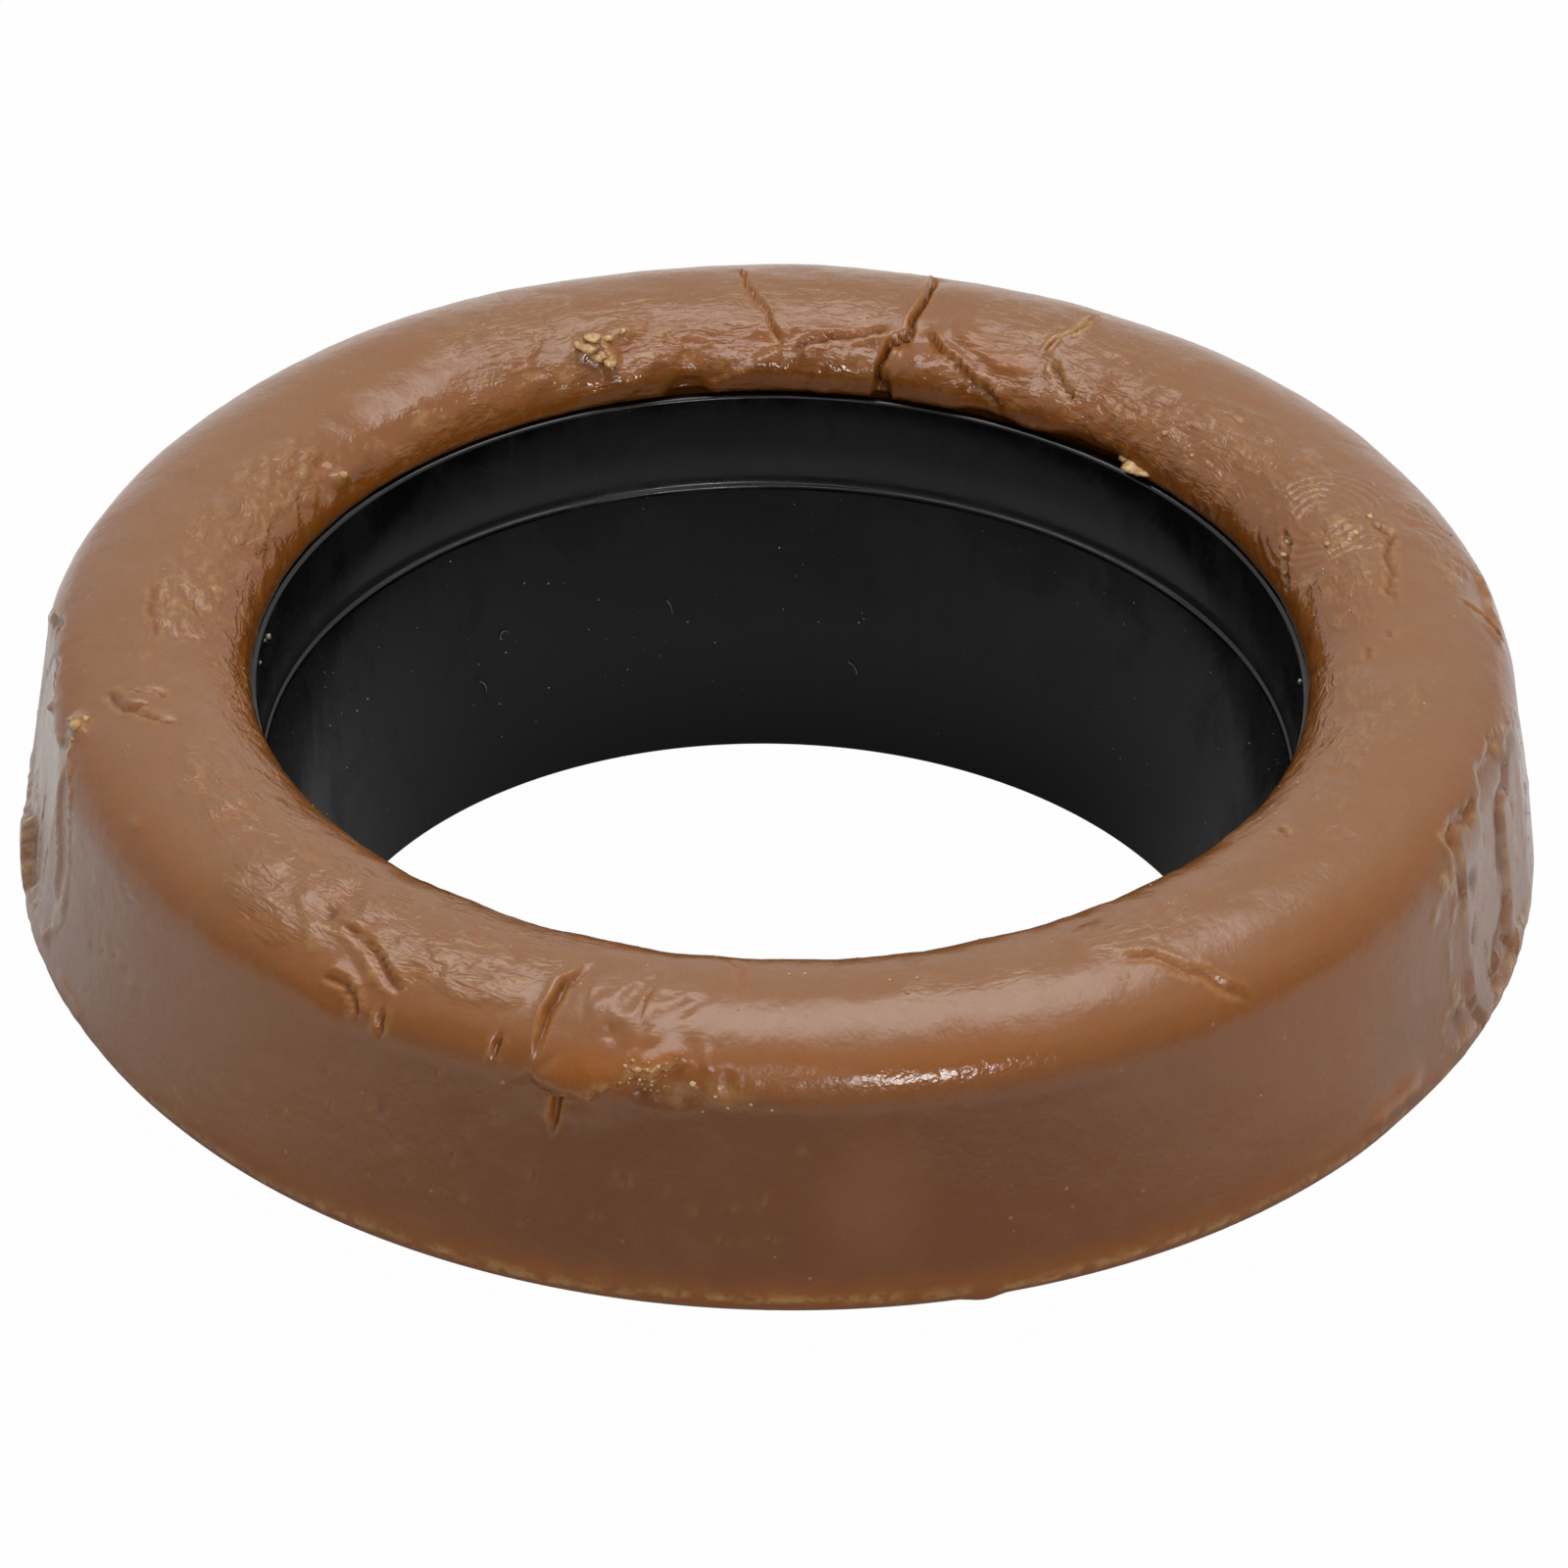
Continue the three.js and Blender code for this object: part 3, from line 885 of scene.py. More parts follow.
@dataclass
class WaxRing:
    """The wax ring: a spun section, moved point by point into its slumped, cracked and scraped skin."""

    finish: bpy.types.Material
    columns: int = 235
    cuts: int = 3
    coarse_rows: int = 28
    fine_rows: int = 60
    fine_from: float = 19.0
    busy: tuple[Triple, ...] = (
        (74, 27, 1.6), (-110, 19, 1.6), (-57, 8, 1.3), (14, 14, 0.9), (-168, 10, 0.9), (111, 4, 0.8))
    flange_gap: float = 0.3
    collar_radius: float = 44.5
    flange_radius: float = 55.0
    ledge_height: float = 10.5
    flange_thickness: float = 1.5
    horn_radius: float = 42.6
    horn_flare: float = 0.9
    highest: float = 1.6
    deepest: float = 3.0
    lip_deepest: float = 0.85
    lip_reach: float = 0.8
    foot_held: float = 1.2
    lip_held: float = 0.5
    near_turn: float = -88.0
    found: tuple[np.ndarray, ...] = ()

    def __post_init__(self) -> None:
        """Takes the ring's place and radius from the frame."""
        low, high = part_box("wax_ring")
        self.base = low.z / MM
        self.section = RingSection(base_radius=high.y / MM)
        self.alongs = np.concatenate([
            np.linspace(0, self.fine_from, self.coarse_rows, endpoint=False),
            np.linspace(self.fine_from, self.section.lengths[-1], self.fine_rows),
        ])

    def bore(self) -> list[Pair]:
        """Radius and height of the bore's corners, from the lip down to the base."""
        outer = self.collar_radius + self.flange_gap
        flange = self.flange_radius + self.flange_gap
        top = self.ledge_height + self.flange_gap
        under = self.ledge_height - self.flange_thickness - self.flange_gap
        horn = self.horn_radius + self.flange_gap
        return [(outer, self.section.lip_height), (outer, top), (flange, top), (flange, under),
                (horn + self.horn_flare, under), (horn, 0)]

    def crowd(self, turn: np.ndarray) -> np.ndarray:
        """Turns the even columns so that they stand closer where the wax is cracked."""
        places = np.linspace(-180, 180, 360 * 10 + 1)
        weight = np.ones(len(places))
        for middle, half, more in self.busy:
            weight += more * np.exp(-((turned(places - middle) / half) ** 4))
        spread = np.concatenate([[0], np.cumsum((weight[1:] + weight[:-1]) / 2)])
        return np.interp(turn, spread / spread[-1] * 360 - 180, places)

    def marks(self) -> list[Mark]:
        """Every mark in the skin, by the side of the ring that it is on."""
        return [*self.slump_marks(), *self.back_marks(), *self.front_marks(), *self.left_marks(),
                *self.right_marks()]

    def slump_marks(self) -> list[Mark]:
        """Broad dents where the soft wax has sagged or was pressed."""
        return [
            Swelling(-34, 9, (11, 8), -0.35),
            Swelling(-170, 30, (12, 5), -0.25),
            Swelling(8, 26, (7, 4), -0.4),
            Swelling(26, 37, (12, 5), 0.25),
            Swelling(-124, 27, (9, 4), -0.25),
            Swelling(-140, 34, (16, 6), 0.15),
            Swelling(130, 34, (20, 7), 0.15),
        ]

    def back_marks(self) -> list[Mark]:
        """Cracks, folds and lobes of the far crown."""
        return [
            Swelling(106, 42.4, (4.6, 2.6), 0.6, rough=0.14, amber=0.4, grime=0.2, wet=1.0),
            Swelling(94.5, 42.8, (5.0, 2.4), 1.1, rough=0.08, amber=0.4, grime=0.3, wet=1.0),
            Swelling(86, 42.6, (6.8, 3.0), 1.3, rough=0.08, amber=0.4, grime=0.3, wet=1.0),
            Swelling(73.4, 42.2, (5.8, 3.4), 1.25, rough=0.06, amber=0.3, grime=0.15, wet=0.8),
            Swelling(61, 42.6, (5.5, 2.6), 0.6, rough=0.1, amber=0.4, grime=0.2, wet=0.8),
            # These four dents are painted with shade: the dark gaps where the lobes hang over the
            # sleeve's rim.
            Swelling(101.3, 45.2, (2.6, 2.6), -1.6, grime=0.9),
            Swelling(79.2, 45.2, (1.1, 3.0), -1.6, grime=0.9),
            Swelling(66.5, 45.4, (4.0, 1.4), -0.9, grime=0.7),
            Swelling(53, 45.4, (6.5, 2.2), -1.5, grime=0.9),
            Crack(((94.5, 30.1), (93.8, 33.9), (93, 36), (92, 37.6), (91.5, 39), (90.5, 40.4),
                   (90.2, 41.1)), width=0.36, depth=0.8, lip=0.03, bank=0.2, amber=1.0, grime=0.5,
                  ends=0.1),
            Edge(((90.2, 41.1), (91.8, 41.4), (93, 42.1), (94.8, 43), (97, 43.5), (100.5, 44.5)),
                 height=0.5, reach=1.2),
            Crack(((90.2, 41.1), (89.2, 41.4), (88, 40.6), (85.5, 40.2), (83.8, 39.8), (81.5, 39.3),
                   (78.8, 38.9)), width=0.95, depth=1.0, lip=0.3, bank=-0.5, pale=0.2, amber=1.0,
                  grime=0.55),
            Swelling(85, 39.4, (5.5, 1.0), 0.2, rough=0.1, wet=1.0),
            Crack(((76.8, 28.5), (76.8, 29.7), (76.5, 33.9), (77, 36.3), (77, 37.5), (76.8, 38.9),
                   (78.8, 40), (79.2, 41.1), (79.8, 42.3), (79.8, 43.8), (79.5, 45)), width=0.5,
                  depth=1.6, lip=0.05, bank=-0.4, amber=1.0, grime=0.75, ends=0.06),
            Crack(((75.8, 37.8), (74.5, 38.9), (72.8, 40.2), (70.8, 41.2), (68.8, 42.1),
                   (66.5, 42.8), (65, 43.5), (64.2, 43.9)), width=0.7, depth=0.9, lip=0.2, bank=0.5,
                  amber=1.0, grime=0.35),
            Ridge(((73.2, 36.8), (71.5, 38.1), (69.8, 39), (67.8, 39.8), (65.8, 40.4), (63.5, 40.2),
                   (61.6, 39.4)), width=0.9, height=0.42, sharp=0.8, pale=0.1, amber=0.5),
            Crack(((61.3, 29.8), (61, 31.9), (60.8, 33.8), (61.5, 35.1), (62.2, 35.9), (62.2, 37),
                   (62.5, 38.2)), width=0.6, depth=0.6, lip=0.25, bank=0.3, pale=1.0, grime=0.3,
                  ends=0.1),
            Crack(((61.3, 38.2), (60, 39.4), (58.8, 40.2), (57.5, 40.6), (56.8, 41.4)), width=0.7,
                  depth=0.8, lip=0.2, pale=0.6),
            Swelling(111.2, 39.6, (2.6, 1.9), 0.9, rough=0.25, pale=1.0, amber=0.4),
            Swelling(109.8, 41.2, (1.2, 1.6), 0.7, rough=0.2, pale=1.0),
            Swelling(107.5, 38.6, (2.6, 1.0), 0.4, rough=0.2, pale=0.6),
            Wrinkles(104, 40, (9, 4.5), lean=65, pitch=1.6, height=0.16),
            Wrinkles(86, 43, (8, 2.5), lean=20, pitch=1.5, height=0.18, pale=0.3, amber=0.5,
                     creased=0.3),
            Wrinkles(70, 42.5, (8, 2.8), lean=40, pitch=1.8, height=0.14, pale=0.3, amber=0.4,
                     creased=0.3),
            Swelling(109, 43.2, (4.2, 1.7), 0.6, rough=0.2, wet=1.0),
            Wrinkles(52, 40, (10, 5), lean=25, pitch=1.6, height=0.14, pale=0.2),
            Wrinkles(67, 34, (6, 4), lean=20, pitch=1.8, height=0.08, pale=0.2),
            Wrinkles(118, 36, (10, 6), lean=60, pitch=2.0, height=0.1, pale=0.3),
        ]

    def front_marks(self) -> list[Mark]:
        """The near crack, the flap under it, the crumpled crown beside it and the crease."""
        return [
            Crack(((-105.2, 35.4), (-105.8, 34.4), (-106.5, 33.1), (-106.8, 31.9), (-107.5, 31.2),
                   (-107.5, 29.8), (-107.8, 28.5), (-107.8, 26.2), (-107.8, 24.4), (-107.5, 22.6)),
                  width=0.7, depth=0.85, lip=0.05, bank=-0.5, amber=1.0, grime=0.5, ends=0.4),
            Swelling(-102.2, 29.5, (5.2, 4.6), 0.45, lean=-10),
            Swelling(-103.2, 24.4, (7.2, 2.8), 0.25, amber=0.8),
            Swelling(-98.5, 25.6, (5.0, 2.2), 0.1, amber=0.9, rough=0.15),
            # Painted reflection: a pale haze on the near wall, standing in for the front lamp's glare
            # on the floor.
            Swelling(-82.5, 14, (6.5, 9), 0.0, bloom=0.45),
            Swelling(-77, 24.8, (15, 1.9), 0.0, wet=0.55),
            Crack(((-106.8, 22.8), (-105.8, 21.8), (-105.8, 20.6), (-106, 19.3), (-106.2, 18.3)),
                  width=1.1, depth=0.7, lip=0.16, amber=0.9, grime=0.4, ends=0.25),
            Crack(((-110.8, 25.9), (-110.9, 25.2), (-111, 24.4), (-111, 23.2)), width=0.9,
                  depth=0.6, lip=0.16, amber=0.9, grime=0.35, ends=0.3),
            Edge(((-108, 23.6), (-107.5, 22.6), (-105.5, 22.2), (-103.2, 22.2), (-102.8, 23.1),
                  (-101.5, 23.7), (-100, 24.6), (-99, 24.3), (-98.3, 25.2), (-97.2, 25.8),
                  (-96, 26.2)), height=1.0, reach=1.7, overhang=0.8, pale=0.9),
            Swelling(-99.6, 23.2, (0.9, 0.8), -0.35, grime=0.6),
            *self.scratches(),
            Swelling(-96.8, 23.4, (2.6, 1.9), -0.35, rough=0.3, pale=0.4),
            Swelling(-93, 23.8, (3.2, 1.8), -0.1, rough=0.28, pale=0.4),
            Ridge(((-95, 27.2), (-94.8, 25.1)), width=0.3, height=0.2),
            Ridge(((-92.5, 26), (-92.2, 22.2)), width=0.3, height=0.15),
            Wrinkles(-114, 30, (5, 3), lean=60, pitch=2.2, height=0.12, pale=0.1),
            Wrinkles(-99, 30.5, (6, 5), lean=60, pitch=3.4, length=6, height=0.3, pale=0.1,
                     amber=0.1, creased=0.15),
            Crack(((-99.8, 32.5), (-100.2, 31.5), (-100.5, 28.5)), width=0.5, depth=0.2, lip=0.05,
                  amber=0.8),
            Crack(((-94, 38), (-93, 36), (-92.5, 33)), width=1.0, depth=0.18, lip=0.05, pale=0.1,
                  grime=0.1),
            Crack(((-61.3, 31.8), (-59.8, 31.6), (-57.5, 30.6), (-56.2, 29.1), (-55.5, 28.3),
                   (-54.2, 27.6), (-53.2, 25.8), (-51, 23.6)), width=1.1, depth=0.3, lip=0.1,
                  bank=0.16, pale=0.4, grime=0.1, ends=0.2),
            Wrinkles(-57, 34, (6, 3.5), lean=15, pitch=1.4, height=0.08, pale=0.4),
            Wrinkles(-19, 37, (6, 3), lean=30, pitch=1.5, height=0.1, pale=0.4),
            Crack(((-127.7, 30), (-126, 29.7), (-124, 29.4), (-120.8, 27.1), (-119, 26.6)),
                  width=1.1, depth=0.5, lip=0.3, bank=0.25, pale=0.3, grime=0.3),
            Crack(((-126.5, 25.5), (-124.2, 25.6), (-123, 24.9), (-122.2, 23.2)), width=1.0,
                  depth=0.45, lip=0.35, bank=0.2, pale=0.5, amber=0.9, grime=0.3),
            Crack(((-120.5, 24.9), (-120.2, 22.7)), width=0.9, depth=0.5, lip=0.2, pale=0.4,
                  grime=0.3),
            Ridge(((-130.3, 28.9), (-128.7, 27.4), (-127.7, 26.4)), width=0.5, height=0.25,
                  pale=0.6),
            Ridge(((-124.5, 28.4), (-122.8, 27.2), (-122, 25.8)), width=0.5, height=0.25, pale=0.5),
            Swelling(-129, 30.3, (0.8, 1.0), -0.4, grime=0.5),
            Wrinkles(-133, 31, (9, 6), lean=-35, pitch=3.2, height=0.24, pale=0.1),
            Wrinkles(-120, 32, (9, 5), lean=-25, pitch=2.6, height=0.12, pale=0.1),
            Wrinkles(-146, 35, (10, 5), lean=-35, pitch=2.4, height=0.14, pale=0.1),
            Crack(((-36.5, 35), (-36, 36), (-35.5, 37)), width=0.7, depth=0.3, lip=0.25, pale=0.7),
        ]

    @staticmethod
    def scratches() -> list[Mark]:
        """Short fine scratches on the near wall."""
        rng = np.random.default_rng(Seed.SCRATCHES)
        marks = []
        for _ in range(SCRATCHES):
            turn, along = rng.uniform(-132, -84), rng.uniform(9, 21)
            lean, half = rng.uniform(0, math.pi), rng.uniform(0.4, 1.5)
            east, north = half * math.cos(lean), half * math.sin(lean)
            bow = rng.uniform(-0.3, 0.3)
            route = ((turn - east, along - north), (turn + bow, along), (turn + east, along + north))
            marks.append(Crack(route, width=0.35, depth=0.12, lip=0.05, amber=0.1, pale=0.2,
                               grime=0.4, ends=0.4))
        return marks

    def left_marks(self) -> list[Mark]:
        """The scraped facet on the left wall, and the folds above it."""
        return [
            Facet(186, 7, 25.8, 1.25, 15, rough=0.16, scraped=0.65, torn=0.4),
            Crack(((-168, 29.5), (-166.8, 29.8), (-164.8, 30.4), (-164, 30.9), (-164, 31.5),
                   (-164, 32.6)), width=0.9, depth=0.6, lip=0.2, bank=0.15, pale=0.3),
            Crack(((-163.8, 31.2), (-162.2, 32.1), (-161, 32.9), (-160, 34)), width=0.7, depth=0.4,
                  lip=0.15),
            Crack(((-167, 31.6), (-166, 32.5), (-165.2, 33.8), (-164.5, 33.9), (-163.8, 33.4)),
                  width=0.7, depth=0.35, lip=0.15),
            Crack(((177.2, 34), (179.8, 34), (181.8, 34.2), (183.5, 34.4), (185.8, 34.4)),
                  width=0.9, depth=0.4, lip=0.12),
            Wrinkles(176, 36.5, (13, 3.4), lean=15, pitch=1.6, height=0.3, pale=0.9),
            Wrinkles(158, 38.5, (12, 4.5), lean=25, pitch=1.7, height=0.28, pale=0.7),
            Wrinkles(-172, 41, (12, 3.2), lean=85, pitch=1.2, height=0.15, pale=0.2, amber=0.6),
            Edge(((182.5, 24.3), (180.5, 24.3), (178, 24.8)), height=0.4, reach=1.0, pale=0.8),
            Edge(((190, 24.3), (186, 23.6), (184.5, 23.2), (182.5, 24.3)), height=0.4, reach=1.0,
                 pale=0.8),
            Swelling(-165, 26.6, (2.6, 1.1), 0.75, rough=0.2, pale=0.9),
            Ridge(((-162.8, 24.9), (-162.5, 23.1), (-161.5, 19.6), (-159.8, 16.2), (-160, 14.4),
                   (-158.2, 11.7)), width=0.45, height=0.3, pale=0.6),
            Swelling(-161, 8.6, (1.4, 1.3), 0.35, rough=0.25, amber=1.0),
            Ridge(((-157.8, 6.6), (-155.8, 6.6), (-153.2, 6.5), (-152, 5.7)), width=0.5, height=0.4,
                  pale=0.8),
            Ridge(((-151.2, 26.2), (-150.5, 26.4), (-150, 27)), width=0.35, height=0.3, pale=0.5),
            Crack(((-149, 22.1), (-146.5, 21)), width=0.5, depth=0.2, lip=0.05, amber=0.3),
            Crack(((-153.8, 12.8), (-148, 15.3), (-143.5, 13.9)), width=0.5, depth=0.15, lip=0.04,
                  amber=0.3),
            Swelling(147.6, 42, (1.2, 1.1), 0.8, rough=0.2, pale=0.9),
            Swelling(148.2, 40.2, (1.3, 1.0), -0.4, amber=1.0),
        ]

    def right_marks(self) -> list[Mark]:
        """The scraped wall on the right, the torn shoulder and the wrinkled crown above it."""
        return [
            Facet(-17, 6, 25.4, 0.85, 13.5, rough=0.24, scraped=0.35),
            Crack(((23.2, 40.8), (21.8, 40.9), (19.2, 41.5), (17.8, 42.4), (16, 42.8),
                   (14.5, 44.1)), width=0.8, depth=0.5, lip=0.15, bank=0.2),
            Crack(((18.5, 34.2), (16.8, 33.9), (15.2, 33.1), (12, 34.4), (9, 34.5), (6.5, 35.2),
                   (4.2, 34.8)), width=0.8, depth=0.45, lip=0.15, bank=0.15, pale=0.5),
            Wrinkles(30, 37, (16, 4.5), lean=12, pitch=1.4, height=0.2, pale=0.55),
            Wrinkles(17, 36.5, (7, 3.5), lean=40, pitch=1.3, height=0.2, pale=0.6),
            Wrinkles(42, 42.3, (13, 2.6), lean=80, pitch=1.3, height=0.16, pale=0.4, amber=0.5),
            Wrinkles(8, 38, (8, 4), lean=75, pitch=1.8, height=0.12, pale=0.3),
            Wrinkles(15, 29, (9, 4), lean=60, pitch=2.0, height=0.1, pale=0.3),
            Edge(((12.8, 25.5), (11.8, 25.6), (11, 25.5), (10.2, 25.2), (8, 25.4), (5.8, 24.6)),
                 height=0.5, reach=1.4, pale=0.7),
            Crack(((5.8, 28.9), (5.5, 27.1), (4.8, 25.3), (4.5, 24.1)), width=0.8, depth=0.5,
                  lip=0.15, amber=0.9),
            Ridge(((4.8, 27.4), (3, 26.1), (1.8, 24.9)), width=0.5, height=0.3, pale=0.7),
            Crack(((-2.5, 37.6), (-4, 37.5), (-5, 37.2)), width=0.7, depth=0.25, lip=0.12),
            Crack(((-0.2, 35.9), (-2, 35.5)), width=0.6, depth=0.25, lip=0.1),
            Swelling(-24, 20, (1.6, 1.6), -0.35, grime=0.7),
            Swelling(-15, 16, (1.0, 2.4), -0.3, grime=0.7),
            Swelling(-28, 9.5, (1.2, 1.8), -0.3, grime=0.6),
            Ridge(((-23.8, 16.5), (-25.5, 14.1)), width=0.4, height=-0.3, pale=0.0),
            Ridge(((-26, 12.4), (-26, 10.6)), width=0.35, height=0.35),
            Ridge(((-22, 12.4), (-21, 10.6)), width=0.35, height=0.35),
            Ridge(((-41.5, 6.6), (-39.8, 7), (-37.8, 7.2), (-35.2, 7.2), (-33, 6.5)), width=0.8,
                  height=0.6, pale=0.5, amber=0.8),
            Swelling(-74, 2.6, (2.2, 1.6), 0.3),
        ]

    def flash(self, skin: Skin) -> None:
        """Adds the ragged thin edge that the mould left round the foot, and a painted amber glow low on
        the wall.
        """
        cloud = Cloud(Seed.FLASH)
        ragged = cloud.layered(skin.points, 2.4, 4)
        line = 5.2 + 0.6 * cloud.at(skin.points, 14)
        crest = bell((skin.along - line) / 0.5) * fade(ragged, -0.6, 0.2)
        # Painted glow: amber low on the wall stands in for light from the floor shining through the
        # thin wax.
        low = fade(9 - skin.along + 0.7 * ragged, 0, 5)
        skin.lift += 0.12 * crest
        skin.paint(EVERYWHERE, pale=1.3 * crest, amber=0.8 * low)

    def sag(self, skin: Skin) -> None:
        """Adds the slow waves and the small unevenness of cast wax all over, with painted shade on the
        near shoulder, near wall and lip, and a painted sheen on the crown.
        """
        slow = Cloud(Seed.SLUMP)
        held = skin.into(Zone.WAVES) * (1 - 0.7 * skin.into(Zone.CALM))
        waves = 0.26 * slow.at(skin.points, 26) + 0.12 * slow.at(skin.points, 11)
        small = (0.05 + 0.06 * skin.into(Zone.GRAIN)) * slow.layered(skin.points, 4.5, 3)
        skin.lift += held * (waves + small)
        drift = 1.3 * slow.layered(skin.points + 55, 9, 3)
        streaks = slow.layered(skin.points * (1, 1, 2) + 20, 2.4, 3)
        skin.lift += 0.06 * skin.into(Zone.STREAKS) * streaks
        handled = fade(slow.layered(skin.points - 70, 13, 3), -0.05, 0.5) * skin.into(Zone.HANDLING)
        aside = turned(skin.turn - self.near_turn)
        near = fade(-aside, -52, -12) * fade(aside, -52, -12)
        # The dark brown at the lip is painted shade where the wax meets the sleeve.
        skin.paint(EVERYWHERE, amber=0.8 * skin.into(Zone.THIN_WAX), grime=0.5 * skin.into(Zone.PAINTED_LIP_SHADE),
                   creased=0.7 * handled, wet=skin.into(Zone.GLOSS, drift),
                   pale=0.6 * skin.into(Zone.SCUFFS) * fade(-streaks, 0.4, 0.6))
        # Painted shade on the camera's side: an orange band on the near shoulder, where the wax
        # reflects the dark front, and the darker near wall below it. The paler crown tone is a painted
        # sheen.
        skin.paint(EVERYWHERE, amber=0.3 * near * bell((skin.along - 25.3) / 1.7),
                   grime=0.4 * skin.into(Zone.STAINS) * fade(streaks, 0, 0.4),
                   shaded=near * fade(24.5 - skin.along, 0, 2.5) * skin.into(Zone.SHADE),
                   bloom=skin.into(Zone.BLOOM, drift) * fade(41 - skin.along + drift, 0, 5))

    def build(self) -> bpy.types.Object:
        """Makes the ring.

        Returns:
            The dressed wax ring.
        """
        plain = self.section.at(self.alongs)
        corners = np.vstack([plain, self.bore()])
        section = [(radius * MM, (self.base + height) * MM) for radius, height in corners]
        piece = spin_section("wax_ring_skin", section, self.columns, self.cuts)
        mesh = piece.data
        flat = np.empty(len(mesh.vertices) * 3)
        mesh.vertices.foreach_get("co", flat)
        spots = flat.reshape(-1, 3) / MM
        radius = np.hypot(spots[:, 0], spots[:, 1])
        height = spots[:, 2] - self.base
        gaps = np.column_stack([radius, height])[:, None] - corners[None]
        row = np.argmin((gaps**2).sum(axis=2), axis=1)
        turn = self.crowd(np.degrees(np.arctan2(spots[:, 1], spots[:, 0])))
        lap = np.radians(turn)
        points = np.column_stack([radius * np.cos(lap), radius * np.sin(lap), height])
        shown = np.flatnonzero(row < len(plain))
        along = self.alongs[row[shown]]
        skin = Skin(turn[shown], along, radius[shown], points[shown])
        self.sag(skin)
        for mark in self.marks():
            mark.press(skin)
        self.flash(skin)
        run = self.section.run(along)
        left = self.section.lengths[-1] - along
        held = fade(along, 0, self.foot_held)
        lift = np.clip(skin.lift, -self.deepest, self.highest) * held
        lift = np.maximum(lift, np.where(left < self.lip_reach, -self.lip_deepest, -self.deepest))
        slide = skin.slide * held * fade(left, 0, self.lip_held)
        radius[shown] += lift * run[:, 1] + slide * run[:, 0]
        height[shown] += -lift * run[:, 0] + slide * run[:, 1]
        height += self.base
        spots = np.column_stack([radius * np.cos(lap), radius * np.sin(lap), height]) * MM
        mesh.vertices.foreach_set("co", spots.ravel())
        skin.store(mesh, shown)
        mesh.update()
        self.found = (skin.turn, skin.along, spots[shown])
        seat(piece, Slot.WAX, self.finish, "wax_ring")
        return piece

    def spot(self, turn: float, along: float) -> Vector:
        """The corner of the finished skin that is nearest to a place, in metres."""
        turns, alongs, spots = self.found
        apart = np.hypot(turned(turns - turn) * DEGREE_LENGTH, alongs - along)
        return Vector(spots[np.argmin(apart)])


def lump(shape: bmesh.types.BMesh, where: Vector, size: float, cloud: Cloud, squash: float) -> None:
    """Adds one uneven crumb to a mesh.

    Args:
        shape: the mesh that gets it.
        where: its middle, in metres.
        size: its mean radius in millimetres.
        cloud: the noise that shapes it.
        squash: its height as a share of its width.
    """
    rounds = 1 if size < SMALL_LUMP else 2
    corners = bmesh.ops.create_icosphere(shape, subdivisions=rounds, radius=size * MM)["verts"]
    spots = np.array([corner.co for corner in corners]) / MM
    swell = 1 + 0.5 * cloud.layered(spots / size + np.array(where) * LUMP_SCATTER, 1.1)
    for corner, factor in zip(corners, swell):
        corner.co = Vector((corner.co.x, corner.co.y, corner.co.z * squash)) * factor + where


@dataclass
class WaxCrumbs:
    """Loose crumbs and flakes that lie on the wax."""

    finish: bpy.types.Material
    ring: WaxRing
    scattered: int = 260
    flake_size: float = 0.6

    def places(self) -> list[Triple]:
        """Turn, distance along the section and size of each crumb, in degrees and millimetres."""
        flap = [(-99.8, 24.9, 0.3), (-99.2, 25.3, 0.22), (-98.4, 25.6, 0.2), (-95.8, 24.4, 0.26),
                (-94.2, 23.6, 0.2), (-93.2, 22.5, 0.16), (-91.2, 23.1, 0.16), (-95, 22.1, 0.14),
                (-89.8, 22.6, 0.14)]
        front = [(-88.6, 35.6, 0.22), (-87.2, 35.5, 0.2), (-77.9, 33.8, 0.2), (-79.8, 34.1, 0.16),
                 (-78.6, 32.4, 0.22)]
        line = [(16.5, 38.5, 0.3), (15.8, 36.6, 0.25), (16.5, 35.5, 0.3), (18.5, 34.2, 0.3),
                (44.8, 40.6, 0.28), (40, 40.8, 0.24), (21, 41.2, 0.3), (19.6, 41.9, 0.26),
                (17.4, 42.6, 0.22), (15.2, 43.6, 0.26)]
        back = [(111.9, 39.8, 0.9), (110.8, 40.4, 0.9), (111.2, 39.2, 0.7), (110.2, 41.3, 0.7),
                (109.2, 39.4, 0.45), (107.6, 38.8, 0.35), (112.8, 39.2, 0.35), (147.6, 42, 0.4),
                (47, 44.6, 1.1), (45.4, 44.4, 0.8), (48.6, 44.4, 0.5)]
        left = [(-164.6, 26.4, 0.5), (-165.4, 27.2, 0.35), (-164.2, 25.6, 0.3), (-166.4, 26.0, 0.3)]
        rng = np.random.default_rng(Seed.CRUMBS)
        flap += [(rng.uniform(-101, -97.6), 24.6 + rng.normal(0, 0.5),
                  rng.uniform(0.1, 0.24)) for _ in range(34)]
        strewn = []
        for _ in range(self.scattered):
            along = rng.uniform(8, 43) if rng.random() < 0.35 else rng.uniform(28, 43)
            strewn.append((rng.uniform(-180, 180), along, 0.05 + 0.09 * rng.random() ** 2))
        return [*flap, *front, *line, *back, *left, *strewn]

    def build(self) -> bpy.types.Object:
        """Makes the crumbs.

        Returns:
            All the crumbs as one object.
        """
        cloud = Cloud(Seed.CRUMB_SHAPES)
        shape = bmesh.new()
        for turn, along, size in self.places():
            squash = 0.7 if size < self.flake_size else 0.3
            lump(shape, self.ring.spot(turn, along), size, cloud, squash)
        piece = link_mesh("wax_crumbs", shape)
        seat(piece, Slot.WAX, self.finish)
        return piece


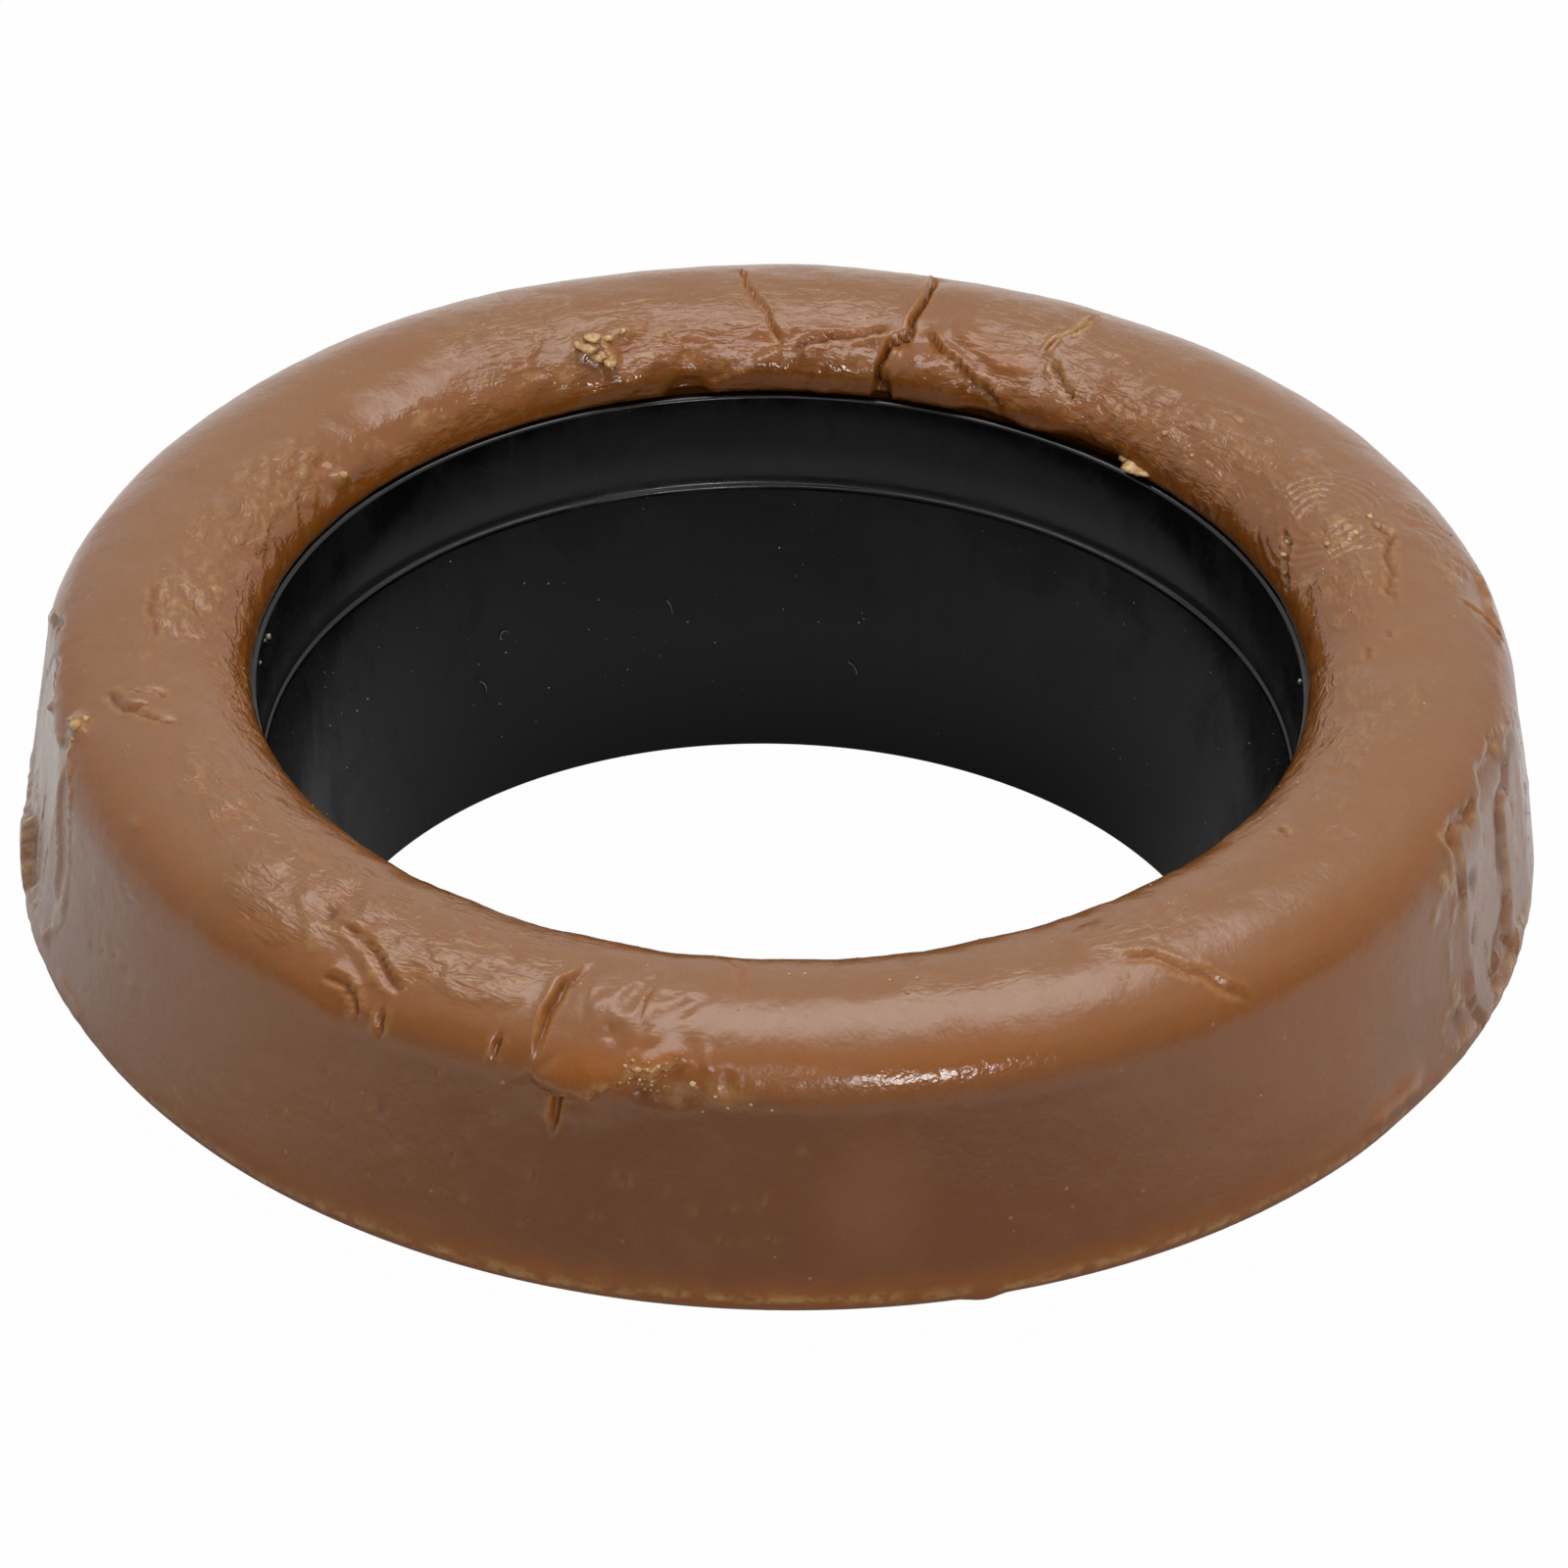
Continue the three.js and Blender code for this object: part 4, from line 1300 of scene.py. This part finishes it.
@dataclass
class HornSleeve:
    """The black sleeve: collar in the wax, ledge, buried flange and tapered horn, as one moulding."""

    finish: bpy.types.Material
    steps: int = 288
    collar_radius: float = 43.4
    collar_wall: float = 1.1
    rim_flatness: float = 0.6
    tip_round: float = 0.3
    ledge_radius: float = 42.8
    ledge_height: float = 25.0
    ledge_round: float = 0.5
    cove_height: float = 1.3
    cove_share: float = 0.55
    horn_wall: float = 1.5
    tip_radius: float = 39.1
    flange_thickness: float = 1.5

    def __post_init__(self) -> None:
        """Takes the rim and the flange's reach from the frame."""
        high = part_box("horn_sleeve")[1]
        self.rim = high.z / MM
        self.flange_radius = high.y / MM

    def section(self) -> list[Pair]:
        """Radius and height of the section's corners in metres."""
        outer = self.collar_radius + self.collar_wall
        taper = (self.ledge_radius - self.tip_radius) / self.ledge_height
        under = self.ledge_height - self.flange_thickness
        tip_outer = self.tip_radius + self.horn_wall
        middle = self.collar_radius + self.collar_wall / 2
        half = self.collar_wall / 2
        rise = half * self.rim_flatness
        rim = RingSection.arc((middle, self.rim - rise), (half, rise), 0, math.pi, 13)
        step = self.collar_radius - self.ledge_radius
        hollow = step * self.cove_share
        edge = step - hollow
        cove = RingSection.arc((self.collar_radius - hollow, self.ledge_height + self.cove_height),
                               (hollow, self.cove_height), 0, -math.pi / 2, 9)
        nose = RingSection.arc((self.ledge_radius + edge, self.ledge_height - self.ledge_round),
                               (edge, self.ledge_round), math.pi / 2, math.pi, 6)
        tip = RingSection.arc((self.tip_radius + self.tip_round, self.tip_round),
                              (self.tip_round, self.tip_round), math.pi, 1.5 * math.pi, 5)
        walls = [(tip_outer - self.tip_round, 0), (tip_outer, self.tip_round),
                 (tip_outer + taper * under, under), (self.flange_radius, under),
                 (self.flange_radius, self.ledge_height), (outer, self.ledge_height)]
        corners = [*rim.tolist(), *cove.tolist(), *nose.tolist(), *tip.tolist(), *walls]
        return [(radius * MM, height * MM) for radius, height in corners]

    def build(self) -> bpy.types.Object:
        """Makes the sleeve.

        Returns:
            The dressed sleeve.
        """
        piece = spin_section("horn_sleeve_moulding", self.section(), self.steps)
        seat(piece, Slot.PLASTIC, self.finish, "horn_sleeve")
        return piece


@dataclass
class SleeveDust:
    """Grains and short hairs that cling to the sleeve's inside."""

    finish: bpy.types.Material
    sleeve: HornSleeve
    scattered: int = 150
    hairs: tuple[tuple[float, float, float, float], ...] = (
        (125.8, 14.9, 0.45, 230), (131.4, 10.3, 1.6, 60), (106.6, 13.3, 2.2, 40), (82.0, 7.5, 1.2, 70))
    hair_radius: float = 0.03
    hair_sides: int = 5
    hair_steps: int = 14
    hair_gap: float = 0.08

    def wall(self, turn: float, height: float) -> Vector:
        """A place on the sleeve's inside, in metres."""
        share = min(height / self.sleeve.ledge_height, 1)
        radius = self.sleeve.tip_radius + share * (self.sleeve.ledge_radius - self.sleeve.tip_radius)
        if height > self.sleeve.ledge_height + self.sleeve.cove_height:
            radius = self.sleeve.collar_radius
        lap = math.radians(turn)
        return Vector((radius * math.cos(lap), radius * math.sin(lap), height)) * MM

    def grains(self) -> list[Triple]:
        """Turn, height and size of each grain, in degrees and millimetres."""
        seen = [(148.8, 16, 0.1), (151.2, 15.8, 0.09), (155.2, 11.8, 0.09), (132.4, 23.8, 0.1),
                (122.4, 19.1, 0.09), (119.2, 18.4, 0.09), (112.8, 15.7, 0.1), (125.8, 13.2, 0.09),
                (127.4, 8.6, 0.09), (120.2, 8.5, 0.09), (101.6, 12.3, 0.11), (98.2, 10.1, 0.1),
                (90.4, 19.1, 0.09), (80.4, 12.4, 0.09), (171.8, 32.5, 0.3), (177.6, 32.8, 0.22),
                (173.5, 33, 0.16), (2.2, 33.2, 0.26)]
        rng = np.random.default_rng(Seed.GRAINS)
        strewn = [(rng.uniform(-20, 200), rng.uniform(3, 24), 0.03 + 0.045 * rng.random() ** 2)
                  for _ in range(self.scattered)]
        return [*seen, *strewn]

    def add_hair(self, shape: bmesh.types.BMesh, turn: float, height: float, bend: float,
                 sweep: float) -> None:
        """Adds one curled hair.

        Args:
            shape: the mesh that gets it.
            turn: degrees round the sleeve.
            height: millimetres above the sleeve's lower end.
            bend: the curl's radius in millimetres.
            sweep: how far round the curl it runs, in degrees.
        """
        where = self.wall(turn, height)
        inward = Vector((-where.x, -where.y, 0)).normalized()
        frame = inward.to_track_quat("Z", "Y").to_matrix().to_4x4()
        place = Matrix.Translation(where + inward * self.hair_gap * MM) @ frame
        upright = Matrix.Translation((bend * MM, 0, 0)) @ Matrix.Rotation(math.pi / 2, 4, "X")
        ring = bmesh.ops.create_circle(shape, segments=self.hair_sides,
                                       radius=self.hair_radius * MM, matrix=place @ upright)
        edges = list({edge for corner in ring["verts"] for edge in corner.link_edges})
        bmesh.ops.spin(shape, geom=[*ring["verts"], *edges], axis=inward, cent=place.translation,
                       angle=math.radians(sweep), steps=self.hair_steps)

    def build(self) -> bpy.types.Object:
        """Makes the dust.

        Returns:
            All the dust as one object.
        """
        cloud = Cloud(Seed.GRAIN_SHAPES)
        shape = bmesh.new()
        for turn, height, size in self.grains():
            lump(shape, self.wall(turn, height), size, cloud, squash=0.9)
        for hair in self.hairs:
            self.add_hair(shape, *hair)
        piece = link_mesh("sleeve_dust", shape)
        seat(piece, Slot.PLASTIC, self.finish)
        return piece


@dataclass(frozen=True)
class SoftBox:
    """A soft rectangular lamp that points at the part."""

    name: str
    azimuth: float
    elevation: float
    distance: float
    width: float
    height: float
    watts: float

    def hang(self) -> None:
        """Hangs the lamp; azimuth 0 is the camera's side, and positive goes to its right."""
        lamp = bpy.data.lights.new(self.name, "AREA")
        lamp.shape = "RECTANGLE"
        lamp.size = self.width
        lamp.size_y = self.height
        lamp.energy = self.watts
        around = math.radians(self.azimuth)
        climb = math.radians(self.elevation)
        reach = self.distance * math.cos(climb)
        rise = self.distance * math.sin(climb)
        where = Vector((reach * math.sin(around), -reach * math.cos(around), rise))
        holder = bpy.data.objects.new(self.name, lamp)
        holder.location = where
        holder.rotation_euler = (-where).to_track_quat("-Z", "Y").to_euler()
        bpy.context.scene.collection.objects.link(holder)


@dataclass
class Studio:
    """The camera, the pale floor, the white surroundings and the lamps."""

    wax_base: float
    distance: float = 0.7622
    elevation: float = 35.19
    roll: float = 1.193
    lens: float = 207.6
    sensor: float = 36.0
    far: float = 20.0
    aside: float = 0.00067
    above: float = 0.00688
    floor_half: float = 4.0
    floor_white: float = 0.985
    floor_colour: float = 0.48
    shade_middle: Triple = (0, -0.06, 0)
    shade_narrow: float = 1.5
    shade_reach: Pair = (0.105, 0.16)
    bright_side: Triple = (0, 0.8, 0.6)
    ambient: float = 0.18

    def place_camera(self) -> None:
        """Stands the camera where the photograph was taken from."""
        climb = math.radians(self.elevation)
        middle = Vector((0, 0, self.wax_base))
        rise = self.distance * math.sin(climb)
        stand = Vector((0, -self.distance * math.cos(climb), self.wax_base + rise))
        ahead = (middle - stand).normalized()
        right = Vector((1, 0, 0))
        up = right.cross(ahead)
        tilt = math.radians(self.roll)
        rolled_right = right * math.cos(tilt) + up * math.sin(tilt)
        rolled_up = up * math.cos(tilt) - right * math.sin(tilt)
        target = middle + rolled_right * self.aside + rolled_up * self.above
        back = (stand - target).normalized()
        side = rolled_up.cross(back).normalized()
        data = bpy.data.cameras.new("camera")
        data.lens = self.lens
        data.sensor_width = self.sensor
        data.clip_end = self.far
        camera = bpy.data.objects.new("camera", data)
        facing = Matrix((side, back.cross(side), back)).transposed().to_4x4()
        camera.matrix_world = Matrix.Translation(stand) @ facing
        bpy.context.scene.collection.objects.link(camera)
        bpy.context.scene.camera = camera

    @staticmethod
    def seen_white(board: Board, mirrored: Signal) -> Signal:
        """How white a ray finds the surroundings.

        Args:
            board: the nodes of the floor or the world.
            mirrored: the share that reflections and clear bodies find.

        Returns:
            1 on rays from the camera, the mirrored share in reflections, and 0 on the rest.
        """
        names = ("Is Camera Ray", "Is Glossy Ray", "Is Transmission Ray")
        camera, glossy, clear = (board.node("ShaderNodeLightPath", {}, {}, name) for name in names)
        return camera | (glossy | clear) * mirrored

    def lay_floor(self) -> None:
        """Lays the pale floor, which shows nearly white and keeps the part's shadow."""
        shape = bmesh.new()
        bmesh.ops.create_grid(shape, x_segments=1, y_segments=1, size=self.floor_half)
        mesh = bpy.data.meshes.new("floor")
        shape.to_mesh(mesh)
        shape.free()
        floor = bpy.data.objects.new("floor", mesh)
        material = bpy.data.materials.new("floor")
        board = Board(material)
        matt = board.node("ShaderNodeBsdfDiffuse", {}, {"Color": (*(self.floor_colour,) * 3, 1)})
        white = board.node("ShaderNodeEmission", {}, {"Color": WHITE, "Strength": 1.0})
        place = board.stretched(board.metres(), (self.shade_narrow, 1, 1))
        away = board.vector("DISTANCE", place, self.shade_middle)
        share = self.seen_white(board, away.over(*self.shade_reach)) * self.floor_white
        board.finish(board.node("ShaderNodeMixShader", {}, {0: share, 1: matt, 2: white}))
        mesh.materials.append(material)
        bpy.context.scene.collection.objects.link(floor)

    def light(self) -> None:
        """Sets the white surroundings and hangs the lamps."""
        world = bpy.data.worlds.new("surroundings")
        bpy.context.scene.world = world
        board = Board(world)
        backwards = board.vector("DOT_PRODUCT", board.metres(), self.bright_side)
        share = self.seen_white(board, backwards.over(-0.15, 0.3) * 0.6 + 0.08)
        dim = board.node("ShaderNodeBackground", {}, {"Color": WHITE, "Strength": self.ambient})
        white = board.node("ShaderNodeBackground", {}, {"Color": WHITE, "Strength": 1.0})
        air = board.node("ShaderNodeMixShader", {}, {0: share, 1: dim, 2: white})
        board.finish(air, "ShaderNodeOutputWorld")
        for box in (
            SoftBox("overhead_box", 180, 74, 1.2, 1.1, 0.62, 7.8),
            SoftBox("front_box", 20, 31, 1.3, 0.32, 0.2, 4.0),
            SoftBox("glint_box", -8, 50, 1.3, 0.3, 0.16, 0.8),
        ):
            box.hang()

    def build(self) -> None:
        """Sets up the whole studio."""
        bpy.context.scene.view_settings.view_transform = "Standard"
        self.place_camera()
        self.lay_floor()
        self.light()


def main() -> None:
    """Builds the looks around the frame, and logs the triangle count of each new piece."""
    logging.basicConfig(level=logging.INFO, format="%(name)s %(message)s")
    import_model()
    Studio(wax_base=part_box("wax_ring")[0].z).build()
    sleeve = HornSleeve(PlasticFinish().make())
    sleeve.build()
    ring = WaxRing(WaxFinish().make())
    ring.build()
    pale_wax = CrumbFinish("pale_wax", from_srgb(226, 188, 134), from_srgb(198, 146, 86)).make()
    WaxCrumbs(pale_wax, ring).build()
    grey_dust = CrumbFinish("grey_dust", from_srgb(120, 116, 104), from_srgb(190, 186, 170)).make()
    SleeveDust(grey_dust, sleeve).build()


if __name__ == "__main__":
    main()
